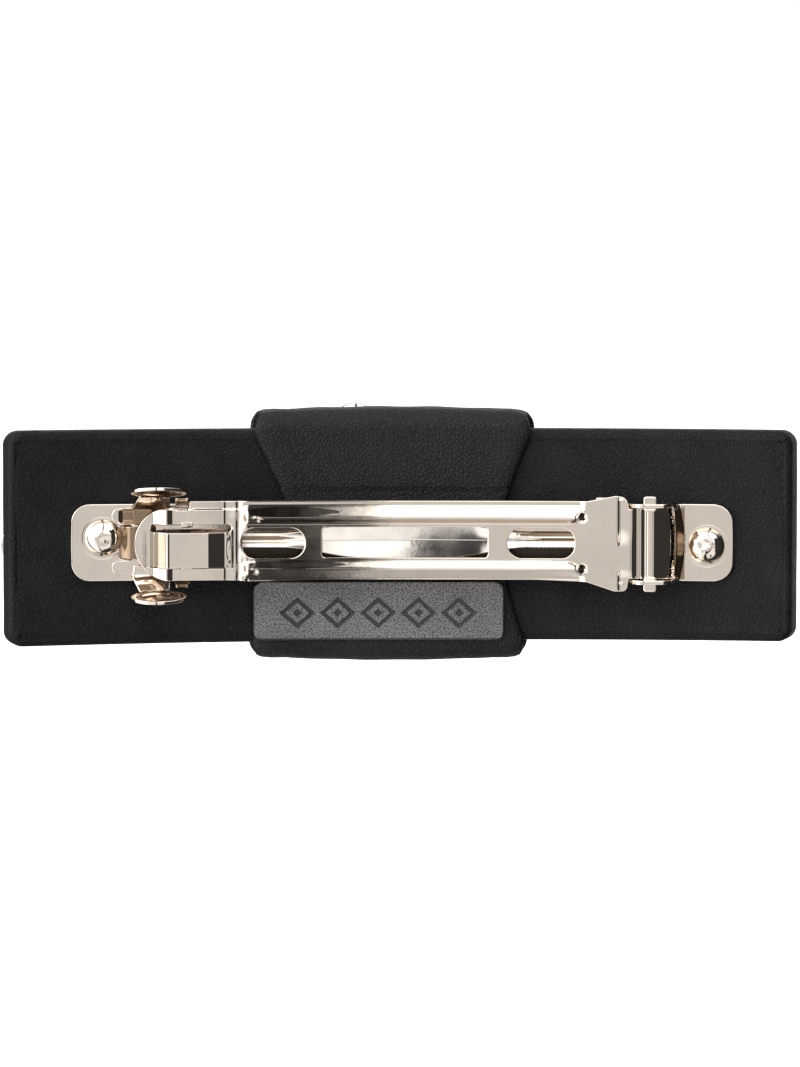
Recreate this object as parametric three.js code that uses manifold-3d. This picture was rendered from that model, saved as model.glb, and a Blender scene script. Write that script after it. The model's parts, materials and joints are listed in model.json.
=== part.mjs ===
// Automatic spring barrette (French clasp) riveted to the back of a leather bow.
//
// Millimetres, worn upright: +X runs along the bow, +Z is up, -Y faces the head,
// so the clasp is on the -Y side and the decorated front of the bow on the +Y side.
// Shapes are drawn flat in (x, z, h), where h is the height above the back face towards
// the head, and are then laid on one of two curves: the bow's arc or the clasp's arc.
// The finished clip is moved so that its origin is the middle of the hair grip, the gap
// between the tension bar and the closed arm.

import * as THREE from 'three';
import { mergeVertices } from 'three/addons/utils/BufferGeometryUtils.js';
import Module from 'manifold-3d';

const wasm = await Module();
wasm.setup();

// ---------------------------------------------------------------- driving dimensions

const bowRadius = 190;
const bowHalfLength = 47.06;
const bowHalfHeight = 12.85;
const bowTaper = 0.003;
const bowCentreZ = 0.63;
const bowTilt = 0.004;
const bowCornerRadius = 1.7;
const leather = 1.0;
const boardThickness = 1.0;
const foamThickness = 2.0;
const layerGap = 0.05;
const bowThickness = 2 * leather + boardThickness + foamThickness + 3 * layerGap;

const wrapLeft = -17.6;
const wrapRight = 15.8;
const wrapHalfHeight = 15.1;
const wrapCentreZ = 0.65;
const wrapBack = 0.03;
const wrapPadding = 1.7;
const wrapCornerRadius = 2.2;
const wrapWaistHalf = 13.1;
const wrapWaistCentre = -0.5;

const patchLeft = -17.9;
const patchRight = 12.7;
const patchTop = -4.95;
const patchBottom = -12.0;
const patchThickness = 0.6;
const patchCornerRadius = 1.2;

const claspRadius = 263;
const claspLift = 1.25;
const plateLeft = -39.6;
const plateRight = 40.1;
const plateHalfWidth = 4.66;
const plateThickness = 0.6;
const plateCornerRadius = 2.0;

const rivets = { left: { x: -35.6, z: 0.58 }, right: { x: 36.74, z: -0.36 } };
const rivetHeadRadius = 2.18;
const rivetHeadHeight = 1.25;
const rivetShankRadius = 1.0;
const rivetHoleRadius = 1.2;
const rivetTailRadius = 1.7;
const washerRadius = 2.3;
const washerThickness = 0.3;

const pivotX = 30.07;
const pivotHeight = 3.2;
const earInner = 4.35;
const earThickness = 0.5;
const pivotHoleRadius = 0.98;
const lugHalfSpan = 5.75;

const armThickness = 0.5;
const armEndTop = 2.6;
const stripTop = 3.7;
const tongueTop = 4.8;
const webTop = 4.0;
const crestTop = 4.62;
const bodyCentreZ = 0.1;

const barThickness = 0.35;
const barLeft = -28.3;
const barRight = 27.2;
const barCentreZ = 0.25;
const barEndHalfWidth = 0.85;
const barMiddleHalfWidth = 2.1;
const barFoot = 1.15;
const barBow = 0.95;

const saddleBottom = 0.65;
const saddleTop = 1.05;
const leverSheet = 0.4;
const leverFootBottom = 1.3;
const padRadius = 3.32;
const padCentreX = -28.85;

// The latch's two sides: face of the finger, top of the folded wall, and the pad's lean in radians.
const leverSides = {
  upper: { side: 1, finger: 1.95, wallZ: 6.0, lean: 0.187 },
  lower: { side: -1, finger: 2.45, wallZ: 6.05, lean: 0.126 },
};
const wallTop = 3.4;

const gripHeight = 3.2;

const largeStudRadius = 2.7;
const smallStudRadius = 0.7;

// ---------------------------------------------------------------- materials

function finish(color, roughness, metalness) {
  return new THREE.MeshStandardMaterial({ color, roughness, metalness });
}

const nickel = () => finish(0xcabfb3, 0.12, 1);
const blackLeather = () => finish(0x202022, 0.55, 0);
const wrapLeather = () => finish(0x2c2c2e, 0.5, 0);
const patchLeather = () => finish(0x4a4949, 0.65, 0);
const board = () => finish(0x8a7a63, 0.85, 0);
const foam = () => finish(0xd9d4c8, 0.95, 0);
const silver = () => finish(0xd4d2ce, 0.15, 1);

// ---------------------------------------------------------------- solids and curves

function toSolid(geometry) {
  const bare = geometry.clone();
  bare.deleteAttribute('normal');
  bare.deleteAttribute('uv');
  const merged = mergeVertices(bare);
  const vertProperties = new Float32Array(merged.attributes.position.array);
  const triVerts = new Uint32Array(merged.index.array);
  return new wasm.Manifold(new wasm.Mesh({ numProp: 3, vertProperties, triVerts }));
}

function toGeometry(solid) {
  const { vertProperties, triVerts } = solid.getMesh();
  const geometry = new THREE.BufferGeometry();
  geometry.setAttribute('position', new THREE.BufferAttribute(vertProperties, 3));
  geometry.setIndex(new THREE.BufferAttribute(triVerts, 1));
  return geometry;
}

function join(first, ...others) {
  const sum = others.reduce((solid, other) => solid.add(toSolid(other)), toSolid(first));
  return toGeometry(sum);
}

function cut(first, ...tools) {
  const rest = tools.reduce((solid, tool) => solid.subtract(toSolid(tool)), toSolid(first));
  return toGeometry(rest);
}

function keep(first, tool) {
  return toGeometry(toSolid(first).intersect(toSolid(tool)));
}

function movePoints(geometry, place) {
  const position = geometry.attributes.position;
  const point = new THREE.Vector3();
  for (let i = 0; i < position.count; i += 1) {
    point.fromBufferAttribute(position, i);
    place(point);
    position.setXYZ(i, point.x, point.y, point.z);
  }
  return geometry;
}

// Depth of the clasp's arc behind the top of its curve, at a given x.
function claspDepth(x) {
  return claspLift + claspRadius - Math.sqrt(claspRadius ** 2 - x ** 2);
}

// Flat points hold (x, -h, z); the clasp follows its arc with x unchanged.
function onClasp(geometry) {
  return movePoints(geometry, (point) => {
    point.y -= claspDepth(point.x);
  });
}

// The bow's layers are rolled about an axis on the head side, so outer layers are longer.
function onBow(geometry) {
  return movePoints(geometry, (point) => {
    const angle = Math.asin(point.x / bowRadius);
    const radius = bowRadius + point.y;
    point.x = radius * Math.sin(angle);
    point.y = radius * Math.cos(angle) - bowRadius;
  });
}

// A slab on a grid of stations along x and lanes along z, between two height functions.
function slab(stations, lanes, low, high, reach = (x, z) => z) {
  const columns = stations.length - 1;
  const rows = lanes.length - 1;
  const geometry = new THREE.BoxGeometry(columns, 1, rows, columns, 1, rows);
  return movePoints(geometry, (point) => {
    const x = stations[Math.round(point.x + columns / 2)];
    const z = lanes[Math.round(point.z + rows / 2)];
    const height = point.y < 0 ? high(x, z) : low(x, z);
    point.set(x, -height, reach(x, z));
  });
}

function spread(from, to, steps) {
  return Array.from({ length: steps + 1 }, (_, i) => from + ((to - from) * i) / steps);
}

// Height along a profile of [x, h] points joined by straight lines.
function along(profile, x) {
  const after = profile.findIndex((point) => point[0] >= x);
  if (after === 0) return profile[0][1];
  if (after < 0) return profile[profile.length - 1][1];
  const [x0, h0] = profile[after - 1];
  const [x1, h1] = profile[after];
  return h0 + ((h1 - h0) * (x - x0)) / (x1 - x0);
}

function outline(points) {
  return new THREE.Shape(points.map(([u, v]) => new THREE.Vector2(u, v)));
}

function roundedRectangle(left, right, bottom, top, radius) {
  const shape = new THREE.Shape();
  shape.moveTo(left + radius, bottom);
  shape.lineTo(right - radius, bottom);
  shape.absarc(right - radius, bottom + radius, radius, -Math.PI / 2, 0);
  shape.lineTo(right, top - radius);
  shape.absarc(right - radius, top - radius, radius, 0, Math.PI / 2);
  shape.lineTo(left + radius, top);
  shape.absarc(left + radius, top - radius, radius, Math.PI / 2, Math.PI);
  shape.lineTo(left, bottom + radius);
  shape.absarc(left + radius, bottom + radius, radius, Math.PI, Math.PI * 1.5);
  return shape;
}

// An outline in (x, z) pushed through the object, from height h0 to h1.
function through(shape, h0 = -40, h1 = 40) {
  const geometry = new THREE.ExtrudeGeometry(shape, { depth: h1 - h0, bevelEnabled: false, curveSegments: 6 });
  geometry.rotateX(Math.PI / 2);
  return geometry.translate(0, -h0, 0);
}

// An outline in (x, h) pushed along z.
function across(shape, z0, z1) {
  const geometry = new THREE.ExtrudeGeometry(shape, { depth: z1 - z0, bevelEnabled: false, curveSegments: 8 });
  geometry.rotateX(Math.PI);
  return geometry.translate(0, 0, z1);
}

// A section in (z, h) run along x.
function lengthwise(shape, x0, x1, steps = 1) {
  const options = { depth: x1 - x0, steps, bevelEnabled: false, curveSegments: 3 };
  const geometry = new THREE.ExtrudeGeometry(shape, options);
  const axes = new THREE.Matrix4().makeBasis(
    new THREE.Vector3(0, 0, 1),
    new THREE.Vector3(0, -1, 0),
    new THREE.Vector3(1, 0, 0),
  );
  return geometry.applyMatrix4(axes).translate(x0, 0, 0);
}

function disc(radius, height, sides = 32) {
  return new THREE.CylinderGeometry(radius, radius, height, sides);
}

function mesh(name, geometry, material) {
  geometry.computeVertexNormals();
  const piece = new THREE.Mesh(geometry, material);
  piece.name = name;
  return piece;
}

// ---------------------------------------------------------------- rivets

function slopeOfClasp(x) {
  return Math.asin(x / claspRadius);
}

// Moves a shape drawn about the Y axis, with +Y towards the head, onto a rivet's axis.
function onRivet(geometry, rivet) {
  geometry.rotateX(Math.PI);
  geometry.rotateZ(-slopeOfClasp(rivet.x));
  return geometry.translate(rivet.x, -claspDepth(rivet.x), rivet.z);
}

function bore(rivet, radius, from = -20, to = 20) {
  const hole = disc(radius, to - from, 24);
  return onRivet(hole.translate(0, (from + to) / 2, 0), rivet);
}

// Depth of the board's inner face below the plate at the rivets, clear of the curve's spread.
const rivetGrip = -2.75;
const washerTop = rivetGrip - 0.12;
const washerBottom = washerTop - washerThickness;
const tailTop = washerBottom - layerGap;
const tailBottom = tailTop - 0.45;

function rivetGeometry() {
  const base = plateThickness + layerGap;
  const rise = new THREE.Vector2(0, base);
  const dome = [0, 15, 30, 45, 60, 75, 90].map((degrees) => {
    const angle = THREE.MathUtils.degToRad(degrees);
    const point = new THREE.Vector2(rivetHeadRadius * Math.cos(angle), rivetHeadHeight * Math.sin(angle));
    return point.add(rise);
  });
  dome[dome.length - 1].x = 0;
  const profile = [
    new THREE.Vector2(0, tailBottom),
    new THREE.Vector2(rivetTailRadius * 0.8, tailBottom),
    new THREE.Vector2(rivetTailRadius, tailTop - 0.15),
    new THREE.Vector2(rivetTailRadius, tailTop),
    new THREE.Vector2(rivetShankRadius, tailTop),
    new THREE.Vector2(rivetShankRadius, base),
    ...dome,
  ];
  return new THREE.LatheGeometry(profile, 24);
}

function washerGeometry() {
  const inner = rivetShankRadius + 0.12;
  const profile = [
    new THREE.Vector2(inner, washerBottom),
    new THREE.Vector2(washerRadius, washerBottom),
    new THREE.Vector2(washerRadius, washerTop),
    new THREE.Vector2(inner, washerTop),
    new THREE.Vector2(inner, washerBottom),
  ];
  return new THREE.LatheGeometry(profile, 24);
}

// ---------------------------------------------------------------- leather bow

// Half height of a bow layer at x, rounded off towards its ends.
function bowReach(halfLength, inset, radius) {
  return (x, z) => {
    const half = bowHalfHeight - bowTaper * x - inset;
    const past = Math.max(0, Math.abs(x) - (halfLength - radius));
    const corner = radius - Math.sqrt(Math.max(0, radius ** 2 - past ** 2));
    return bowCentreZ + bowTilt * x + z * (half - corner);
  };
}

function bowLayer(inset, front, back, radius = bowCornerRadius) {
  const halfLength = bowHalfLength - inset;
  const tips = [1, 0.92, 0.7, 0.4, 0].map((share) => halfLength - radius * (1 - share));
  const middle = spread(-(halfLength - radius), halfLength - radius, 18);
  const ends = tips.slice(0, 4);
  const stations = [...ends.map((x) => -x), ...middle, ...ends.reverse()];
  const lanes = [-1, 0, 1];
  return onBow(slab(stations, lanes, () => front, () => back, bowReach(halfLength, inset, radius)));
}

const boardBack = -(leather + layerGap);
const boardFront = boardBack - boardThickness;
const foamBack = boardFront - layerGap;
const foamFront = foamBack - foamThickness;
const rim = leather + layerGap;

const studs = {
  stud_knot: { x: -5.3, z: 13.65, radius: largeStudRadius, face: -(bowThickness + wrapPadding + leather + 0.1) },
  stud_end_large: { x: -44.6, z: -0.6, radius: largeStudRadius, face: -bowThickness },
  stud_end_small: { x: -45.9, z: -3.9, radius: smallStudRadius, face: -bowThickness },
};
const studPostDepth = 1.6;

function onFront(geometry, stud) {
  const angle = Math.asin(stud.x / bowRadius);
  geometry.translate(0, -stud.face + layerGap, 0);
  geometry.translate(0, bowRadius, 0);
  geometry.rotateZ(-angle);
  return geometry.translate(0, -bowRadius, stud.z);
}

function studGeometry(stud) {
  const height = stud.radius * 0.62;
  const dome = [0, 18, 36, 54, 72, 90].map((degrees) => {
    const angle = THREE.MathUtils.degToRad(degrees);
    return new THREE.Vector2(stud.radius * Math.cos(angle), height * Math.sin(angle));
  });
  dome[dome.length - 1].x = 0;
  const post = stud.radius * 0.28;
  const profile = [
    new THREE.Vector2(0, -studPostDepth),
    new THREE.Vector2(post, -studPostDepth),
    new THREE.Vector2(post, 0),
    ...dome,
  ];
  return onFront(new THREE.LatheGeometry(profile, 24), stud);
}

function studHole(stud) {
  const depth = 2 * studPostDepth + 0.6;
  return onFront(disc(stud.radius * 0.28 + 0.12, depth, 16), stud);
}

function bandBackLeather() {
  const panel = bowLayer(rim, -leather, 0);
  return cut(panel, bore(rivets.left, rivetHoleRadius), bore(rivets.right, rivetHoleRadius));
}

function bandFrontLeather() {
  const outside = bowLayer(0, -bowThickness, 0);
  const inside = bowLayer(leather, -(bowThickness - leather), 1, bowCornerRadius - leather);
  return cut(outside, inside, studHole(studs.stud_end_large), studHole(studs.stud_end_small));
}

function bandBoard() {
  const panel = bowLayer(rim + 0.4, boardFront, boardBack, 1);
  return cut(panel, bore(rivets.left, rivetHoleRadius), bore(rivets.right, rivetHoleRadius));
}

function bandFoam() {
  const panel = bowLayer(rim + 0.4, foamFront, foamBack, 1);
  const pockets = [rivets.left, rivets.right].map((rivet) => bore(rivet, washerRadius + 0.3, tailBottom - 0.3, 20));
  return cut(panel, ...pockets, studHole(studs.stud_end_large), studHole(studs.stud_end_small));
}

// ---------------------------------------------------------------- knot

const wrapTop = wrapCentreZ + wrapHalfHeight;
const wrapBottom = wrapCentreZ - wrapHalfHeight;
const wrapOuterBack = wrapBack + leather;
const wrapInnerFront = -(bowThickness + wrapPadding + 2 * layerGap);
const wrapOuterFront = wrapInnerFront - leather;

function knotWrap() {
  const section = roundedRectangle(wrapBottom, wrapTop, wrapOuterFront, wrapOuterBack, wrapCornerRadius);
  const hole = roundedRectangle(
    wrapBottom + leather,
    wrapTop - leather,
    wrapInnerFront,
    wrapBack,
    wrapCornerRadius - leather,
  );
  section.holes.push(hole);
  const loop = onBow(lengthwise(section, wrapLeft, wrapRight, 9));
  const pinches = [-1, 1].map((side) => {
    const waist = wrapWaistCentre + side * wrapWaistHalf;
    const far = side * 25;
    const edge = side < 0 ? wrapLeft : wrapRight;
    return through(outline([
      [far, 13],
      [edge, 13],
      [waist, 5],
      [waist, -5],
      [edge - side * 0.5, -12.5],
      [far, -12.5],
    ]), wrapBack - 1.6, 8);
  });
  return cut(loop, ...pinches, studHole(studs.stud_knot));
}

function knotPadding() {
  const top = wrapTop - leather - layerGap;
  const bottom = wrapBottom + leather + layerGap;
  const front = wrapInnerFront + 3 * layerGap;
  const bandTop = bowCentreZ + bowHalfHeight + 0.2;
  const bandBottom = bowCentreZ - bowHalfHeight - 0.2;
  const bandFront = -(bowThickness + layerGap);
  const lip = -(wrapCornerRadius - leather) - 0.1;
  const section = outline([
    [bottom, lip],
    [bottom, front + 1.2],
    [bottom + 1.2, front],
    [top - 1.2, front],
    [top, front + 1.2],
    [top, lip],
    [bandTop, lip],
    [bandTop, bandFront],
    [bandBottom, bandFront],
    [bandBottom, lip],
  ]);
  const pad = onBow(lengthwise(section, wrapLeft + 1.2, wrapRight - 1.2, 9));
  return cut(pad, studHole(studs.stud_knot));
}

function labelPatch() {
  const stations = spread(patchLeft - 1, patchRight + 1, 8);
  const back = wrapOuterBack + layerGap;
  const sheet = onBow(slab(stations, [patchBottom - 1, patchTop + 1], () => back, () => back + patchThickness));
  const shape = roundedRectangle(patchLeft, patchRight, patchBottom, patchTop, patchCornerRadius);
  return keep(sheet, through(shape));
}

// ---------------------------------------------------------------- base plate

const hingeFloorLeft = 27.5;
const hingeFloorRight = 33.0;
const lipEnd = 34.35;
const lipLength = 1.1;
const lipRise = 0.9;
const strapHalfWidth = 1.95;
const strapTop = 1.6;
const strapThickness = 0.45;

function plateTopAt(x) {
  const share = THREE.MathUtils.clamp((lipEnd - x) / lipLength, 0, 1);
  const lip = x < hingeFloorRight ? 0 : lipRise * share;
  return plateThickness + lip;
}

function strap() {
  const rise = [[-34.3, 0.5], [-33.35, 0.6], [-32.75, 1.35], [-32.3, 1.54], [-31.8, strapTop]];
  const fall = [[-30.8, strapTop], [-29.6, 0.62], [-29.1, 0.55]];
  const profile = [...rise, ...fall];
  const stations = profile.map((point) => point[0]);
  const top = (x) => along(profile, x);
  const bottom = (x) => top(x) - strapThickness;
  return onClasp(slab(stations, [-strapHalfWidth, strapHalfWidth], bottom, top));
}

function ear(side) {
  const depth = claspDepth(pivotX);
  const reachLeft = hingeFloorLeft + 0.1;
  const reachRight = 33.5;
  const foot = (x) => claspDepth(x) - depth + 0.1;
  const cheek = new THREE.Shape();
  cheek.moveTo(reachLeft, foot(reachLeft));
  cheek.lineTo(reachRight, foot(reachRight));
  cheek.lineTo(reachRight - 0.05, 2.4);
  cheek.lineTo(pivotX + 1.75, pivotHeight + 0.9);
  cheek.absarc(pivotX, pivotHeight, 1.6, Math.PI * 0.35, Math.PI * 0.75);
  cheek.lineTo(reachLeft, 3.2);
  const eye = new THREE.Path();
  eye.absarc(pivotX, pivotHeight, pivotHoleRadius, 0, Math.PI * 2);
  cheek.holes.push(eye);
  const z = side > 0 ? earInner : -earInner - earThickness;
  return across(cheek, z, z + earThickness).translate(0, -depth, 0);
}

function guard(side) {
  const section = outline([[4.3, 0.1], [4.85, 0.1], [5.4, 2.0], [4.95, 2.0]].map(([z, h]) => [side * z, h]));
  return onClasp(lengthwise(section, -27.1, -25.35));
}

function basePlate() {
  const left = spread(plateLeft - 1, -24, 8);
  const right = [20, 24, hingeFloorLeft, 29, 31, 32.9, hingeFloorRight, 33.5, lipEnd, 36, 38, plateRight + 1];
  const stations = [...left, -18, -12, -6, 0, 6, 12, ...right];
  const lanes = [-plateHalfWidth - 1, plateHalfWidth + 1];
  const top = (x) => plateTopAt(x);
  const sheet = onClasp(slab(stations, lanes, (x) => top(x) - plateThickness, top));
  const shape = roundedRectangle(plateLeft, plateRight, -plateHalfWidth, plateHalfWidth, plateCornerRadius);
  const blank = keep(sheet, through(shape));
  const holes = [
    bore(rivets.left, rivetHoleRadius),
    bore(rivets.right, rivetHoleRadius),
    through(roundedRectangle(-33.9, -29.5, -strapHalfWidth - 0.05, strapHalfWidth + 0.05, 0.4)),
    through(roundedRectangle(hingeFloorLeft, hingeFloorRight, -4.25, 4.25, 0.5)),
  ];
  return join(cut(blank, ...holes), strap(), ear(1), ear(-1), guard(1), guard(-1));
}

// ---------------------------------------------------------------- clasp arm

const neckProfile = [
  [26.3, webTop],
  [27.6, webTop],
  [28.0, 3.85],
  [28.6, 3.48],
  [29.1, 3.46],
  [29.55, 3.2],
  [29.9, 3.5],
  [30.65, 3.5],
  [31.2, 3.18],
  [32.0, 2.66],
  [32.6, 2.2],
];

// Half of the ribbed section: web, rib and rim, as [distance from the middle, h].
const ribProfile = [[2.3, webTop], [2.95, crestTop], [3.2, crestTop], [4.3, 3.68], [4.5, 3.62]];
const rimStep = 0.28;

function ribbedTop(z) {
  const out = Math.abs(z - bodyCentreZ);
  return along(ribProfile, out);
}

function armTop(x, z) {
  const strip = z > 4.2 ? stripTop - rimStep : stripTop;
  if (x <= -28.05) return along([[-29.8, armEndTop], [-28.05, stripTop]], x);
  if (x <= -21.3) return strip;
  if (x < -18.3) return THREE.MathUtils.mapLinear(x, -21.3, -18.3, strip, ribbedTop(z));
  if (x <= 21.7) return ribbedTop(z);
  if (x <= 22.5) return THREE.MathUtils.mapLinear(x, 21.7, 22.5, ribbedTop(z), webTop);
  return along(neckProfile, x);
}

function armOutline() {
  const shape = new THREE.Shape();
  shape.moveTo(-28.9, -4.3);
  shape.lineTo(-28.3, -4.46);
  shape.lineTo(-19.6, -4.46);
  shape.lineTo(-18.0, -4.62);
  shape.lineTo(-16.0, -4.62);
  shape.quadraticCurveTo(3.0, -3.78, 22.4, -4.62);
  shape.lineTo(25.7, -5.7);
  shape.quadraticCurveTo(27.2, -5.9, 27.3, -4.8);
  shape.lineTo(27.4, -4.2);
  shape.lineTo(32.1, -4.2);
  shape.quadraticCurveTo(33.1, 0, 32.1, 4.2);
  shape.lineTo(27.4, 4.2);
  shape.lineTo(27.3, 4.9);
  shape.quadraticCurveTo(27.2, 5.9, 25.9, 5.75);
  shape.lineTo(22.4, 5.1);
  shape.lineTo(-25.15, 5.1);
  shape.lineTo(-25.25, 4.28);
  shape.lineTo(-28.3, 4.28);
  shape.lineTo(-28.9, 4.0);
  shape.quadraticCurveTo(-31.4, 3.6, -31.85, 0);
  shape.quadraticCurveTo(-31.9, -3.2, -28.9, -4.3);
  return shape;
}

function tongue() {
  const profile = [[-30.3, 2.58], [-29.7, 2.5], [-28.0, tongueTop], [-23.0, tongueTop], [-20.9, webTop - 0.02]];
  const stations = [-31, -30.3, -29.7, -28.85, -28.0, -25.5, -23.0, -22.0, -20.9, -19.6];
  const top = (x) => along(profile, x) - 0.02;
  const bottom = (x) => top(x) - armThickness + 0.04;
  return onClasp(slab(stations, [-2.9, -0.8, 1.35], bottom, top));
}

function lug(side) {
  const section = outline([[4.0, 2.92], [lugHalfSpan, 2.92], [lugHalfSpan, 3.5], [4.0, 3.5]]
    .map(([z, h]) => [side * z, h]));
  return onClasp(lengthwise(section, pivotX - 0.75, pivotX + 0.75));
}

// The edge of the hinge plate, folded down beside the base plate.
function wingFlange(side, reach, from) {
  const section = [
    [reach - 0.7, 3.55],
    [reach - 0.55, 3.9],
    [reach - 0.05, 3.9],
    [reach + 0.25, 2.3],
    [reach - 0.15, 2.3],
    [reach - 0.4, 3.55],
  ];
  return onClasp(lengthwise(outline(section.map(([z, h]) => [side * z, h])), from, 26.9));
}

function claspArm() {
  const body = spread(-18.3, 21.7, 10);
  const neck = neckProfile.map((point) => point[0]);
  const stations = [-32.5, -31, -29.9, -29.1, -28.3, -26, -23.6, -21.3, -20.3, -19.4, ...body, 22.5, 24.4, ...neck, 33.4];
  const half = [...ribProfile.map((point) => point[0]), 5.9];
  const lanes = [...half.map((z) => bodyCentreZ - z).reverse(), bodyCentreZ, ...half.map((z) => bodyCentreZ + z)];
  const sheet = onClasp(slab(stations, lanes, (x, z) => armTop(x, z) - armThickness, armTop));
  const openings = [
    through(roundedRectangle(-28.0, -20.4, -2.95, 2.3, 0.3)),
    through(roundedRectangle(-19.2, -11.4, -1.78, 1.86, 1.7)),
    through(roundedRectangle(-9.4, 10.6, -1.73, 1.95, 0.4)),
    through(roundedRectangle(12.9, 21.0, -1.78, 1.86, 1.7)),
  ];
  const blank = cut(keep(sheet, through(armOutline())), ...openings);
  return join(blank, tongue(), lug(1), lug(-1), wingFlange(1, 5.6, 23.6), wingFlange(-1, 5.05, 24.4));
}

// ---------------------------------------------------------------- tension bar and latch

function tensionBar() {
  const middle = (barLeft + barRight) / 2;
  const half = (barRight - barLeft) / 2;
  const share = (x) => Math.min(1, Math.abs(x - middle) / half);
  const bottom = (x) => barFoot + barBow * Math.cos((share(x) * Math.PI) / 2) ** 2;
  const reach = (x, z) => {
    const belly = 1 - THREE.MathUtils.smoothstep(Math.abs(x - 0.6), 5, 15);
    return barCentreZ + z * (barEndHalfWidth + (barMiddleHalfWidth - barEndHalfWidth) * belly);
  };
  const stations = spread(barLeft, barRight, 22);
  const crease = (z) => 0.25 * Math.abs(z);
  const crown = (x, z) => bottom(x) + barThickness + crease(z);
  const hollow = (x, z) => bottom(x) + crease(z);
  return onClasp(slab(stations, [-1, 0, 1], hollow, crown, reach));
}

function latchSaddle() {
  const rails = [
    through(roundedRectangle(-34.7, -24.9, 2.15, 4.2, 1.0), saddleBottom, saddleTop),
    through(roundedRectangle(-34.7, -24.9, -3.9, -2.15, 0.85), saddleBottom, saddleTop),
  ];
  const bridge = through(outline([[-32.3, -2.2], [-30.9, -2.2], [-30.9, 2.2], [-32.3, 2.2]]), saddleBottom, saddleTop);
  return onClasp(join(bridge, ...rails));
}

const foldZ = 4.15;

function latchLever({ side, finger: face, wallZ, lean }) {
  const mirrored = (points) => outline(points.map(([z, h]) => [side * z, h]));
  const footTop = leverFootBottom + leverSheet - 0.05;
  const footFrom = (z) => mirrored([[z, leverFootBottom], [4.3, leverFootBottom], [4.3, footTop], [z, footTop]]);
  const foot = lengthwise(footFrom(face + 0.2), -32, -26.1);
  const heel = lengthwise(footFrom(face - 0.2), -26.2, -24.8);
  const wall = lengthwise(mirrored([
    [foldZ - 0.35, leverFootBottom],
    [foldZ + 0.1, leverFootBottom],
    [wallZ + 0.05, wallTop],
    [wallZ + 0.25, wallTop + 0.9],
    [wallZ - 0.15, wallTop + 0.9],
    [wallZ - 0.4, wallTop],
  ]), -32.3, -27.7);
  const taper = across(outline([[-32.5, leverFootBottom], [-31.4, 3.4], [-31.4, 5], [-32.5, 5]]), -8, 8);
  const finger = lengthwise(mirrored([
    [face - 0.4, leverFootBottom],
    [face, leverFootBottom],
    [face, 3.88],
    [face + 0.7, 3.88],
    [face, 4.22],
    [face - 0.4, 4.22],
  ]), -26.2, -24.9);
  const pad = disc(padRadius, leverSheet + 0.05, 40);
  const rise = padRadius - 0.2;
  pad.rotateX(Math.PI / 2 - side * lean);
  pad.translate(padCentreX, -(wallTop + rise * Math.cos(lean)), side * (wallZ - 0.15 + rise * Math.sin(lean)));
  return onClasp(join(foot, heel, cut(wall, taper), finger, pad));
}

// ---------------------------------------------------------------- assembly

const barrette = new THREE.Group();
barrette.name = 'spring_barrette';

const bow = new THREE.Group();
bow.add(
  mesh('band_back_leather', bandBackLeather(), blackLeather()),
  mesh('band_front_leather', bandFrontLeather(), blackLeather()),
  mesh('band_board', bandBoard(), board()),
  mesh('band_foam', bandFoam(), foam()),
  mesh('knot_wrap', knotWrap(), wrapLeather()),
  mesh('knot_padding', knotPadding(), foam()),
  mesh('label_patch', labelPatch(), patchLeather()),
);
for (const [name, stud] of Object.entries(studs)) {
  bow.add(mesh(name, studGeometry(stud), silver()));
}

const clasp = new THREE.Group();
clasp.add(
  mesh('base_plate', basePlate(), nickel()),
  mesh('clasp_arm', claspArm(), nickel()),
  mesh('tension_bar', tensionBar(), nickel()),
  mesh('latch_saddle', latchSaddle(), nickel()),
  mesh('latch_lever_upper', latchLever(leverSides.upper), nickel()),
  mesh('latch_lever_lower', latchLever(leverSides.lower), nickel()),
);
for (const [side, rivet] of Object.entries(rivets)) {
  clasp.add(mesh(`rivet_${side}`, onRivet(rivetGeometry(), rivet), nickel()));
  clasp.add(mesh(`rivet_washer_${side}`, onRivet(washerGeometry(), rivet), nickel()));
}

barrette.add(bow, clasp);
barrette.position.y = claspLift + gripHeight;

export default barrette;
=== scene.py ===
"""Looks of a spring barrette on a leather bow: rebuilt metal pressings, leather, studio and camera."""

import json
import math

import bpy
import numpy as np
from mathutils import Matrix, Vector, geometry, noise


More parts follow.
